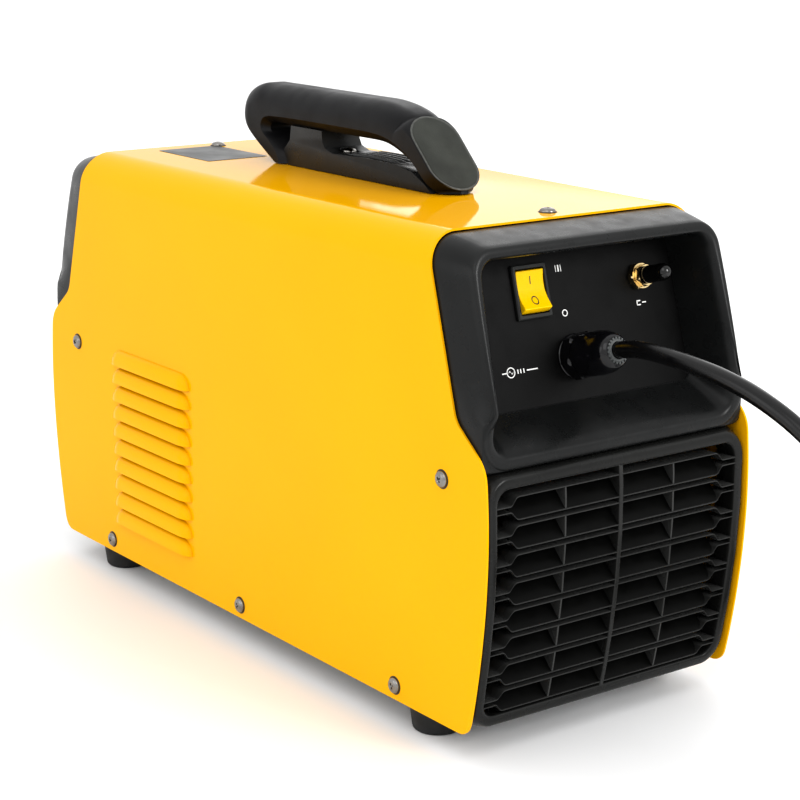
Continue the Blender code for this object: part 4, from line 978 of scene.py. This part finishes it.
def make_switch():
    """A snap-in rocker switch: a grey frame with a chamfered edge round a yellow rocker."""
    w, h = 24.4 / 2, 30.6 / 2
    loops = []
    for x, y, z, r in (
        (w, h, GAP, 1.2), (w, h, 1.9, 1.2), (w - 0.7, h - 0.7, 2.6, 1.0), (10.2, 12.9, 2.6, 0.8),
        (10.0, 12.7, 2.3, 0.7), (10.0, 12.7, -8.4, 0.7), (10.8, 13.5, -8.4, 0.9), (10.8, 13.5, GAP, 0.9),
    ):
        flat = round_corners([(x, y), (x, -y), (-x, -y), (-x, y)], r, 4, closed=True)
        loops.append([(a, b, z) for a, b in flat])
    mesh = skin_mesh("switch_frame", loops, closed=True)
    placed("switch_frame", mesh, FRAME_GREY, SWITCH_PLACE, replaces=("switch_housing",), angle=25)
    boxes = [((-10.4, -13.1, -9.0), (10.4, 13.1, -8.45)), ((-10.4, -13.2, -23.5), (10.4, 13.2, -9.05))]
    for x in (-5, 5):
        for y in (-7, 7):
            boxes.append(((x - 0.4, y - 3.1, -32.0), (x + 0.4, y + 3.1, -23.55)))
    placed("switch_body", box_mesh("switch_body", boxes), FRAME_GREY, SWITCH_PLACE)

    steps = [i / 8 for i in range(1, 8)]
    outline = [ROCKER_MIDDLE] + [rocker_face(ROCKER_MIDDLE, ROCKER_LOWER[0], t) for t in steps] + ROCKER_LOWER
    outline += [(-4.0, -4.6), (4.0, -4.6)] + ROCKER_UPPER
    outline += [rocker_face(ROCKER_UPPER[-1], ROCKER_MIDDLE, t) for t in steps]
    outline = [tuple(ROCKER_TURN @ Vector(p)) for p in outline]
    mesh = slab_mesh("rocker", outline, -ROCKER_HALF_W, ROCKER_HALF_W)
    rocker = placed("rocker_cap", mesh, ROCKER, ROCKER_PLACE, "rocker", ("switch_rocker",), 30)
    bevel(rocker, 0.5, 3, 50)

    # the on bar on the upper half and the off ring on the lower half, set on the hollow faces
    bm = bmesh.new()
    loops = []
    for k in range(9):
        y = 3.6 + (7.9 - 3.6) * k / 8
        corners = ((-0.38, 0.05), (0.38, 0.05), (0.38, -0.3), (-0.38, -0.3))
        loops.append([on_rocker(y, x, proud) for x, proud in corners])
    skin(bm, loops)
    loops = []
    for a in angles(32):
        corners = ((2.35, 0.05), (1.75, 0.05), (1.75, -0.3), (2.35, -0.3))
        across, up = math.cos(a), 1.15 * math.sin(a)
        loops.append([on_rocker(-5.9 + r * up, r * across, proud) for r, proud in corners])
    skin(bm, loops, closed=True)
    placed("rocker_marks", new_mesh("rocker_marks", bm), INK, ROCKER_PLACE, "rocker")


def hex_prism(bm, across, low, high, chamfer=0.8, turn=0.0):
    """A hexagon with its corners turned off round both ends."""
    corner = across / math.sqrt(3) - 0.15
    end = across / 2 + 0.12
    loops = []
    for z, limit in ((low, end), (low + chamfer, corner), (high - chamfer, corner), (high, end)):
        loop = []
        for a in angles(48):
            flat = across / 2 / math.cos(a % (math.pi / 3) - math.pi / 6)
            loop.append(polar(min(flat, limit), a + turn, z))
        loops.append(loop)
    skin(bm, loops)


def hex_mesh(name, *sizes, **more):
    bm = bmesh.new()
    hex_prism(bm, *sizes, **more)
    return new_mesh(name, bm)


def make_gas_inlet():
    bm = bmesh.new()
    hex_prism(bm, 14.4, GAP, 4.4, 0.7)
    hex_prism(bm, 11.6, 4.5, 8.3, 0.6, turn=0.3)
    mesh = new_mesh("gas_inlet_nuts", bm)
    placed("gas_inlet_nuts", mesh, BRASS, GAS_PLACE, replaces=("gas_inlet",), angle=28)
    stem = [
        (0, 20.0), (2.8, 20.0), (3.4, 18.6), (2.9, 17.0), (3.4, 15.0), (2.9, 13.2), (3.4, 11.0), (2.9, 9.4),
        (2.9, -13.0), (0, -13.0),
    ]
    turned("gas_inlet_stem", stem, 40, BRASS, GAS_PLACE)
    cap = [
        (0, 27.0), (1.3, 26.85), (2.6, 26.3), (3.7, 25.3), (4.5, 23.9), (4.9, 22.2), (5.0, 20.0), (4.9, 12.0),
        (5.15, 11.4), (5.2, 10.6), (5.15, 9.6), (4.9, 9.2), (4.1, 9.1), (4.0, 20.6), (0, 20.6),
    ]
    turned("gas_cap", cap, 48, CAP, GAS_PLACE, "gas_cap", ("gas_inlet_cap",), 50)


def make_gland():
    """A plastic cable gland: a hexagon body, a domed nut with a ring of clamping fingers, and a soft seal."""
    mesh = hex_mesh("gland_hex", 24.0, 1.6, 9.4, 1.0, turn=0.2)
    placed("gland_hex", mesh, NYLON, GLAND_PLACE, replaces=("gland_body",), angle=28)
    washer = [(10.0, 1.55), (12.4, 1.55), (12.8, 1.2), (12.8, GAP), (10.0, GAP)]
    turned("gland_washer", washer, 48, NYLON, GLAND_PLACE)
    thread = [(9.6, 1.6), (9.6, -3.0)]
    for k in range(6):
        z = -3.0 - k * 1.6
        thread += [(9.6, z), (9.0, z - 0.8)]
    thread += [(9.6, -12.6), (9.0, -13.0), (6.2, -13.0), (6.2, 1.6)]
    turned("gland_thread", thread, 40, NYLON, GLAND_PLACE)
    mesh = hex_mesh("locknut", 26.0, -7.0, -2.4, 0.7)
    placed("gland_locknut_hex", mesh, NYLON, GLAND_PLACE, replaces=("gland_locknut",), angle=28)

    # each row of the domed nut is its height, how far it stands out, and how much of a hexagon it is
    loops = []
    for z, grow, facet in (
        (9.8, 0.0, 0.55), (10.8, 0.9, 0.55), (12.6, 1.0, 0.55), (19.6, 1.0, 0.55), (20.8, 0.8, 0.5),
        (21.8, 0.3, 0.0), (24.6, 0.0, 0.0), (28.5, -0.5, 0.0), (31.8, -1.7, 0.0), (34.0, -2.6, 0.0),
        (35.4, -3.6, 0.0), (36.0, -4.6, 0.0),
    ):
        loop = []
        for a in angles(72):
            round_r = 12.2 + grow
            flat_r = 11.6 / math.cos(a % (math.pi / 3) - math.pi / 6) + grow * 0.6
            loop.append(polar(round_r + (min(flat_r, 13.2) - round_r) * facet * 1.6, a, z))
        loops.append(loop)
    loops += [[polar(r, a, z) for a in angles(72)] for r, z in ((7.6, 35.9), (6.9, 34.6), (6.9, 9.8))]
    mesh = skin_mesh("gland_dome", loops, closed=True)
    placed("gland_dome", mesh, NYLON, GLAND_PLACE, replaces=("gland_nut",))
    fingers = bmesh.new()
    for a in angles(20):
        turn_verts(fingers, add_box(fingers, (6.2, -0.55, 35.0), (7.5, 0.55, 36.6)), a)
    placed("gland_fingers", new_mesh("gland_fingers", fingers), SEAL, GLAND_PLACE)
    seal = [(5.0, 36.9), (6.0, 36.7), (6.6, 36.0), (6.8, 34.6), (6.8, 12.0), (4.95, 12.0)]
    turned("gland_seal", seal, 48, SEAL, GLAND_PLACE)


def mark(name, x, z, shapes, end=1):
    """Flat printed bars on a slanted panel, each as (left, low, right, high) round (x, z)."""
    boxes = [((x0, y0, 0.0), (x1, y1, PRINT_H)) for x0, y0, x1, y1 in shapes]
    placed(name, box_mesh(name, boxes), WHITE, panel_frame(x, z, PRINT_LIFT, end))


def ring_mark(name, x, z, radius, width=0.6):
    inner = radius - width
    rows = ((radius, 0.0), (radius, PRINT_H), (inner, PRINT_H), (inner, 0.0))
    mesh = skin_mesh(name, [[polar(r, a, height) for a in angles(40)] for r, height in rows], closed=True)
    placed(name, mesh, WHITE, panel_frame(x, z, PRINT_LIFT))


def make_rear_marks():
    """Generic marks: bars and a ring by the switch, a port by the inlet, a ringed wave by the cord."""
    mark("mark_on", 5.5, 260.5, [(-0.5, -1.9, 0.5, 1.9), (1.6, -1.9, 2.1, 1.9), (-2.1, -1.9, -1.6, 1.9)])
    ring_mark("mark_off", 5.5, 236.3, 2.0)
    prongs = [(-3.6, -1.5, -0.6, -0.8), (-3.6, 0.8, -0.6, 1.5)]
    mark("mark_inlet", -52.0, 235.6, prongs + [(0.6, -0.35, 3.6, 0.35), (-3.6, -1.5, -2.9, 1.5)])
    ring_mark("mark_mains", 50.0, 209.6, 3.0)
    bm = bmesh.new()
    line = [(-1.6 + 3.2 * k / 16, 0.75 * math.sin(2 * math.pi * k / 16)) for k in range(17)]
    low, top = [[bm.verts.new(metres((x, y + half, PRINT_H))) for x, y in line] for half in (-0.22, 0.22)]
    for i in range(16):
        bm.faces.new((low[i], low[i + 1], top[i + 1], top[i]))
    placed("mark_wave", new_mesh("mark_wave", bm), WHITE, panel_frame(50.0, 209.6, PRINT_LIFT))
    pins = [(x, -1.2, x + 0.7, 1.2) for x in (4.6, 6.6, 8.8)]
    mark("mark_mains_line", 50.0, 209.6, [(-6.2, -0.35, -3.1, 0.35), *pins, (11.2, -0.35, 19.0, 0.35)])


dress("rear_panel", PANEL, 0.25, 1)
make_switch()
make_gas_inlet()
make_gland()
make_rear_marks()


# ---------------------------------------------------------------- screws and feet

FOOT_X = 77.5
FOOT_Y = 180.0


def screw_mesh():
    """A pan head with a cross recess and the start of its shank."""
    profile = [
        (0, 2.35), (1.6, 2.3), (2.9, 2.05), (3.9, 1.6), (4.45, 1.05), (4.7, 0.45), (4.7, 0.08), (4.55, 0.0),
        (2.0, 0.0), (2.0, -4.0), (0, -4.0),
    ]
    pattern = linked("pattern", turned_mesh("screw", profile, 40))
    pattern.data.materials.append(STEEL)
    for turn in (0.0, math.pi / 2):
        bm = bmesh.new()
        made = add_box(bm, (-2.3, -0.5, 0.9), (2.3, 0.5, 3.2))
        for v in made:
            if v.co.z < 0.0015:
                v.co.x *= 0.4
        turn_verts(bm, made, turn)
        boolean(pattern, new_mesh("slot", bm), "DIFFERENCE")
    found = pattern.data.copy()
    bpy.data.objects.remove(pattern)
    return found


def make_screws():
    master = screw_mesh()
    seats = []
    for side, sign in (("right", 1), ("left", -1)):
        for label, (y, z) in SIDE_SCREWS.items():
            seats.append((f"side_screw_{side}_{label}", (sign * (HALF_W + GAP), y, z), (sign, 0, 0)))
    seats.append(("top_screw_rear", (0, TOP_SCREW_Y, COVER_TOP + GAP), (0, 0, 1)))
    seats.append(("top_screw_front", (0, -TOP_SCREW_Y, COVER_TOP + GAP), (0, 0, 1)))
    for label, (y, z) in HANDLE_SCREWS.items():
        seats.append((f"handle_screw_{label}", (0, y, z + GAP), (0, 0, 1)))
    # each side and top screw sits on a thin black ring a little wider than its head: a painted shadow round
    # the head, drawn as a washer
    washer = [(2.4, 0.30), (5.2, 0.30), (5.5, 0.12), (5.5, 0.02), (2.4, 0.02)]
    for index, (node, at, direction) in enumerate(seats):
        # each cross stands at its own angle
        place = aimed(at, direction) @ Matrix.Rotation(0.7 + 1.3 * index, 4, "Z")
        placed(f"{node}_head", master.copy(), STEEL, place, replaces=(node,), angle=30)
        if "handle" not in node:
            place = aimed(Vector(at) - Vector(direction) * GAP, direction)
            turned(f"{node}_washer", washer, 36, INK, place, angle=30)


def make_feet():
    profile = [
        (0, 17.0), (16.4, 17.0), (16.4, 15.6), (16.1, 14.8), (15.9, 12.0), (14.7, 2.6), (14.3, 1.2),
        (13.4, 0.3), (12.6, 0.0), (6.6, 0.0), (5.9, 0.3), (5.6, 1.0), (5.3, 4.0), (3.2, 4.2), (3.2, 3.2),
        (0, 3.0),
    ]
    for end, y in (("rear", FOOT_Y), ("front", -FOOT_Y)):
        for side, x in (("left", -FOOT_X), ("right", FOOT_X)):
            place = Matrix.Translation(metres((x, y, 0)))
            node = f"foot_{end}_{side}"
            turned(f"rubber_{node}", profile, 56, RUBBER, place, replaces=(node,), angle=40)


make_screws()
make_feet()


# ---------------------------------------------------------------- handle

# stations along the grip from its front foot over the bar to its rear foot,
# each with the outer and the inner edge of the grip in the side view, as (y, z)
GRIP_STATIONS = [
    ((-87.0, 290.3), (-66.8, 290.3)), ((-100.0, 297.6), (-70.6, 297.4)), ((-112.0, 305.0), (-79.0, 303.8)),
    ((-119.5, 311.5), (-86.0, 308.0)), ((-122.0, 319.0), (-88.4, 311.0)), ((-120.0, 328.0), (-88.0, 313.5)),
    ((-114.0, 335.0), (-86.0, 315.2)), ((-104.0, 339.0), (-82.0, 315.8)), ((-90.0, 339.5), (-76.0, 315.8)),
    ((-40.0, 339.5), (-38.0, 315.8)), ((12.0, 339.5), (10.0, 315.8)), ((28.0, 339.4), (22.0, 315.8)),
    ((40.0, 338.2), (30.0, 315.8)), ((50.0, 336.2), (37.0, 315.5)), ((57.0, 334.0), (43.0, 314.6)),
    ((61.0, 331.7), (49.0, 313.0)), ((66.0, 326.9), (55.0, 310.9)), ((72.0, 321.1), (61.0, 308.4)),
    ((78.0, 315.3), (66.5, 305.4)), ((84.0, 309.5), (71.5, 302.0)), ((90.0, 303.7), (76.5, 298.4)),
    ((95.5, 298.4), (81.0, 295.2)), ((99.5, 294.5), (84.5, 292.6)), ((101.4, 290.3), (88.0, 290.3)),
]
GRIP_HALF_W = 18.0
GRIP_ROUND = 14.0             # how far the rounding of the bar's outer side reaches
GRIP_CHAMFER = 5.0            # along the edges of the finger window
PAD_HALF_W = 17.5
PAD_R_LONG = 17.5             # the pad's round ends, measured along its slope
PAD_UPPER = (73.3, 319.9)     # centre of its upper round end, as (y, z)
PAD_LOWER = (88.7, 304.9)
PAD_RIM = 0.6
PAD_LENGTH = (Vector(PAD_LOWER) - Vector(PAD_UPPER)).length
PAD_SLOPE = (Vector(PAD_LOWER) - Vector(PAD_UPPER)).normalized()
RIDGES_X = (-9.6, -4.8, 0.0, 4.8, 9.6)


def fine_stations(stations, steps=5):
    """More stations on a smooth curve through the given ones."""
    last = len(stations) - 1
    found = []
    for i in range(last):
        for k in range(steps):
            t = k / steps
            pair = []
            for side in (0, 1):
                near = [stations[min(max(j, 0), last)] for j in range(i - 1, i + 3)]
                p0, p1, p2, p3 = [Vector(station[side]) for station in near]
                point = 2 * p1 + (p2 - p0) * t + (2 * p0 - 5 * p1 + 4 * p2 - p3) * t * t
                point += (3 * p1 - p0 - 3 * p2 + p3) * t ** 3
                pair.append(tuple(point / 2))
            found.append(tuple(pair))
    return found + [stations[-1]]


def along_pad(point):
    """How far a point of the side view lies beyond the pad's lower centre, measured down its slope."""
    return (Vector(point) - Vector(PAD_LOWER)).dot(PAD_SLOPE)


def pad_half_width(point, half_w=PAD_HALF_W):
    """The pad's half width at a point of the side view: a stadium, nothing beyond its round ends."""
    s = along_pad(point)
    beyond = max(s, -PAD_LENGTH - s, 0.0)
    if beyond >= PAD_R_LONG:
        return 0.0
    return half_w * math.sqrt(1.0 - (beyond / PAD_R_LONG) ** 2)


def grip_half_width(point, flat):
    """The grip's half width, which grows from the bar's to the pad's and ends in the pad's round end."""
    if along_pad(point) > 0:
        return max(pad_half_width(point, PAD_HALF_W + PAD_RIM), 3.0)
    return GRIP_HALF_W + (PAD_HALF_W + PAD_RIM - GRIP_HALF_W) * flat / PAD_HALF_W


def grip_section(outer, inner):
    """One section of the grip: rounded or with the pad's flat outside, chamfered inside."""
    a = Vector(outer)
    b = Vector(inner)
    depth = (b - a).length
    flat = min(pad_half_width(outer), PAD_HALF_W)
    half_w = grip_half_width(outer, flat)
    reach = PAD_RIM + (GRIP_ROUND - PAD_RIM) * (1.0 - flat / PAD_HALF_W)
    reach = PAD_RIM if along_pad(outer) > 0 else min(reach, depth - GRIP_CHAMFER - 1.0)
    level = min(flat, half_w - PAD_RIM) if flat else max(half_w - GRIP_ROUND, 0.5)
    half = [(0.0, level)]
    for k in range(1, 13):
        angle = math.pi / 2 * k / 12
        half.append((reach * (1 - math.cos(angle)), level + (half_w - level) * math.sin(angle)))
    half += [(depth - GRIP_CHAMFER, None), (depth, None)]
    points = []
    for inward, x in half:
        place = a + (b - a) * inward / depth
        if x is None:
            x = grip_half_width(place, flat)
            if inward == depth:
                x = min(x, GRIP_HALF_W) - GRIP_CHAMFER
        points.append((x, place.x, place.y))
    return points + [(-x, y, z) for x, y, z in reversed(points)]


def stadium(inset, rise, steps=32):
    """The pad's outline drawn in by an inset, at a height above its face."""
    along = Vector((0, *PAD_SLOPE))
    up = Vector((0, -PAD_SLOPE.y, PAD_SLOPE.x))
    points = []
    for (y, z), start in ((PAD_LOWER, 0.0), (PAD_UPPER, math.pi)):
        for i in range(steps + 1):
            a = start + math.pi * i / steps
            across = Vector((math.cos(a) * (PAD_HALF_W - inset), 0, 0))
            points.append(Vector((0, y, z)) + across + along * math.sin(a) * (PAD_R_LONG - inset) + up * rise)
    return points


def make_handle():
    """The grip as a fine loft, its pad with a rim painted lighter as a painted highlight, and the ribbed base.
    """
    mesh = skin_mesh("grip_shell", [grip_section(*station) for station in fine_stations(GRIP_STATIONS)])
    bevel(add_piece("grip_shell", mesh, GRIP, replaces=("handle_grip",), angle=32), 0.7, 2, 38)
    rows = ((1.3, -1.2), (1.3, 0.18), (1.6, 0.3), (2.4, 0.32))
    mesh = skin_mesh("grip_pad", [stadium(*row) for row in rows])
    add_piece("grip_pad", mesh, PAD, angle=40)
    # the pad's rim is painted lighter than the pad, a painted highlight on its rounded edge
    rows = ((1.35, 0.0), (0.9, 0.3), (0.2, 0.22), (-0.15, -0.2), (0.4, -1.0))
    mesh = skin_mesh("grip_pad_rim", [stadium(*row) for row in rows], closed=True)
    add_piece("grip_pad_rim", mesh, PAD_EDGE_HIGHLIGHT, angle=50)

    dress("handle_base", BLACK, 0.8, 2, 40)
    # lengthwise ridges along the arched top of the base
    bm = bmesh.new()
    for x in RIDGES_X:
        loops = []
        for k in range(25):
            y = -6.0 + 60.0 * k / 24
            z = 303.5 - 0.0011 * (y - 24.0) ** 2 + 0.1
            lift = 1.3 * min(1.0, k / 4, (24 - k) / 4)
            section = [(-1.3, -1.2), (-0.8, lift * 0.85), (0.0, lift), (0.8, lift * 0.85), (1.3, -1.2)]
            loops.append([(x + a, y, z + b) for a, b in section])
        skin(bm, loops)
    add_piece("handle_ridges", new_mesh("handle_ridges", bm), BLACK, angle=50)


make_handle()


# ---------------------------------------------------------------- front

# place, radius, height and body of each knob, and place and body of each toggle
KNOBS = {
    "knob_current": (0.0, 215.0, 16.0, 15.0, "current_knob"),
    "knob_balance": (-50.0, 252.0, 9.5, 12.0, "balance_knob"),
    "knob_pulse": (-50.0, 212.0, 9.5, 12.0, "pulse_knob"),
    "knob_slope": (50.0, 212.0, 9.5, 12.0, "slope_knob"),
}
KNOB_FLUTES = 24
SCALE_TICKS = 11
TOGGLES = {
    "toggle_process": (36.0, 262.0, "process_toggle"),
    "toggle_output": (54.0, 262.0, "output_toggle"),
    "toggle_trigger": (54.0, 242.0, "trigger_toggle"),
}
SOCKETS = {"output_socket_positive": 54.0, "output_socket_negative": -54.0}
FACE_Y = 229.0
SOCKET_Z = 70.0
GAS_OUTLET_Z = 52.0
CONTROL_Z = 98.0
DISPLAY = (2.0, 255.0)
LAMPS_X = (-30.0, -37.0, -44.0, -51.0)
LAMP_Z = 269.0


def make_knobs():
    for node, (x, z, radius, height, body) in KNOBS.items():
        loops = []
        # the radius as a share of the knob's, the height, and how deep the flutes are there
        for share, level, flute in (
            (1.0, 1.0, 0.0), (1.0, 2.2, 0.0), (0.97, 2.7, 0.0), (0.86, 3.2, 0.2), (0.84, 4.0, 1.0),
            (0.79, height - 0.6, 1.0), (0.76, height + 0.4, 0.4), (0.72, height + 0.9, 0.0),
            (0.60, height + 1.0, 0.0),
        ):
            depth = 0.5 * flute * radius / 16.0 * 1.6
            cuts = [depth * (0.5 + 0.5 * math.cos(KNOB_FLUTES * a)) for a in angles(96)]
            loops.append([polar(radius * share - cut, a, level) for a, cut in zip(angles(96), cuts)])
        place = panel_frame(x, z, 0.0, -1)
        placed(f"{node}_cap", skin_mesh(node, loops), KNOB, place, body, (node,), 30)
        pointer = [
            ((-0.45, radius * 0.18, height + 1.0), (0.45, radius * 0.60, height + 1.08)),
            ((-0.45, radius * 0.86, 2.2), (0.45, radius * 0.985, 2.78)),
        ]
        placed(f"{node}_pointer", box_mesh(f"{node}_pointer", pointer), WHITE, place, body)
        bm = bmesh.new()
        add_cylinder(bm, 3.0, (0, 0, -11.5), (0, 0, 1.0), 24)
        placed(f"{node}_shaft", new_mesh(f"{node}_shaft", bm), STEEL, place, body)
        bm = bmesh.new()
        for k in range(SCALE_TICKS):
            long = radius + (4.4 if k % 5 == 0 else 3.2)
            made = add_box(bm, (radius + 1.6, -0.28, PRINT_LIFT), (long, 0.28, PRINT_LIFT + PRINT_H))
            turn_verts(bm, made, math.radians(-60 + 300 * k / (SCALE_TICKS - 1)))
        placed(f"{node}_scale", new_mesh(f"{node}_scale", bm), WHITE, place)


def make_toggles():
    profile = [
        (0, 17.5), (1.2, 17.4), (1.9, 16.9), (2.25, 16.0), (2.3, 15.0), (2.0, 12.0), (1.5, 4.0), (1.7, 2.2),
        (2.4, 1.2), (2.6, 0.0), (2.4, -1.2), (1.6, -3.5), (0, -3.5),
    ]
    bush = [(3.4, 2.6), (4.6, 2.4), (5.0, 2.0), (5.0, GAP), (3.4, GAP)]
    for node, (x, z, body) in TOGGLES.items():
        place = panel_frame(x, z, -1.6, -1)
        pivot = Matrix.Translation(place.translation)
        place = pivot @ Matrix.Rotation(math.radians(12.0), 4, "X") @ pivot.inverted() @ place
        turned(f"{node}_lever", profile, 32, STEEL, place, body, (node,), 40)
        turned(f"{node}_bush", bush, 36, STEEL, panel_frame(x, z, 0, -1))
        mark(f"{node}_mark", x, z, [(-0.3, 7.0, 0.3, 9.0), (-1.6, -8.4, 1.6, -7.8)], -1)


def make_display():
    """The window with three blank seven-bar figures."""
    dress("display_window", WINDOW, 0.35, 2)
    h, w, t = 4.6, 2.4, 0.42
    bars = [(-w, h - t, w, h + t), (-w, -t, w, t), (-w, -h - t, w, -h + t)]
    for side in (-w, w):
        bars += [(side - t, 0.6, side + t, h - 0.6), (side - t, -h + 0.6, side + t, -0.6)]
    boxes = [((cx + x0, y0, 2.0), (cx + x1, y1, 2.05)) for cx in (-9.5, 0.0, 9.5) for x0, y0, x1, y1 in bars]
    placed("display_bars", box_mesh("display_bars", boxes), LIT, panel_frame(*DISPLAY, 0.0, -1))


def threaded(count, top, pitch, crest, root):
    """The rings of a thread's profile, from the top down."""
    found = []
    for k in range(count):
        found += [(crest, top - pitch * k), (root, top - pitch * k - pitch / 2)]
    return found


def make_sockets():
    """Round insulated sockets with a brass contact inside, the gas outlet and the torch's control socket."""
    body = [(0, -5.8), (6.7, -5.8), (6.7, 12.3), (7.2, 12.9), (8.0, 13.0), (12.6, 13.0), (13.0, 12.6)]
    body += [(13.0, 11.2), (13.4, 10.9), (18.6, 10.9), (19.4, 10.5), (19.9, 9.6), (20.4, 1.8), (20.2, 0.6)]
    body += [(19.8, GAP), (16.0, GAP), (16.0, -17.5), (0, -17.5)]
    brass = [(4.2, 4.0), (6.5, 4.0), (6.5, -5.7), (4.2, -5.7)]
    for node, x in SOCKETS.items():
        place = aimed((x, -FACE_Y, SOCKET_Z), (0, -1, 0))
        turned(f"{node}_body", body, 64, KNOB, place, replaces=(node,))
        turned(f"{node}_contact", brass, 40, BRASS, place)
        bars = [(x - 3.0, 96.6, x + 3.0, 97.8)]
        if "positive" in node:
            bars.append((x - 0.6, 94.2, x + 0.6, 100.2))
        near, far = -FACE_Y - PRINT_LIFT - PRINT_H, -FACE_Y - PRINT_LIFT
        boxes = [((x0, near, z0), (x1, far, z1)) for x0, z0, x1, z1 in bars]
        add_piece(f"{node}_sign", box_mesh(f"{node}_sign", boxes), WHITE)

    place = aimed((0, -FACE_Y, GAS_OUTLET_Z), (0, -1, 0))
    placed("gas_outlet_nut", hex_mesh("gas_outlet_nut", 16.6, GAP, 4.4, 0.7), BRASS, place, angle=28)
    stem = [(0, 2.0), (1.9, 2.0), (1.9, 14.8), (2.1, 15.0), (4.2, 15.0), (5.0, 14.2)]
    stem += threaded(5, 13.6, 1.7, 5.2, 4.7)
    stem += [(5.2, 5.0), (5.2, 4.5), (5.9, 0.2), (5.9, -11.8), (0, -11.8)]
    turned("gas_outlet_stem", stem, 40, BRASS, place, replaces=("gas_outlet",))

    place = aimed((0, -FACE_Y, CONTROL_Z), (0, -1, 0))
    shell = [(0, 3.5), (7.4, 3.5), (7.4, 11.8), (7.6, 12.0), (8.4, 12.0)]
    shell += threaded(5, 11.4, 1.5, 9.2, 8.8)
    shell += [(9.2, 3.6), (12.2, 3.3), (12.5, 2.8), (12.5, GAP), (8.9, GAP), (8.9, -11.8), (0, -11.8)]
    turned("torch_control_shell", shell, 48, STEEL, place, replaces=("torch_control_socket",))
    bm = bmesh.new()
    for a in angles(5):
        add_cylinder(bm, 0.7, polar(4.2, a, 3.4), polar(4.2, a, 9.0), 16)
    placed("torch_control_pins", new_mesh("torch_control_pins", bm), BRASS, place)


def make_lamps():
    """Four small indicator lamps in a row above the dials."""
    profile = [(0, 1.5), (0.8, 1.4), (1.4, 1.0), (1.6, 0.4), (1.6, 0.02), (0, 0.02)]
    for index, x in enumerate(LAMPS_X):
        turned(f"lamp_{index + 1}", profile, 24, LIT, panel_frame(x, LAMP_Z, 0.0, -1))


dress("front_panel", PANEL, 0.25, 1)
dress("connector_panel", BLACK, 0.6, 2, 40)
make_knobs()
make_toggles()
make_display()
make_sockets()
make_lamps()


# ---------------------------------------------------------------- base and insides

for row in (
    ("base_pan", ZINC, 0.3, 1), ("fan_frame", BLACK, 0.6, 2, 40), ("fan_impeller", KNOB, 0.4, 2, 40),
    ("heatsink", ALUMINIUM, 0.3, 1), ("power_board", BOARD, 0.15, 1), ("control_board", BOARD, 0.15, 1),
    ("capacitor", SLEEVE, 1.2, 3), ("transformer", IRON, 0.6), ("output_inductor", COPPER, 0.8),
    ("arc_starter", KNOB, 0.6), ("gas_valve", BRASS, 0.6),
):
    dress(*row)
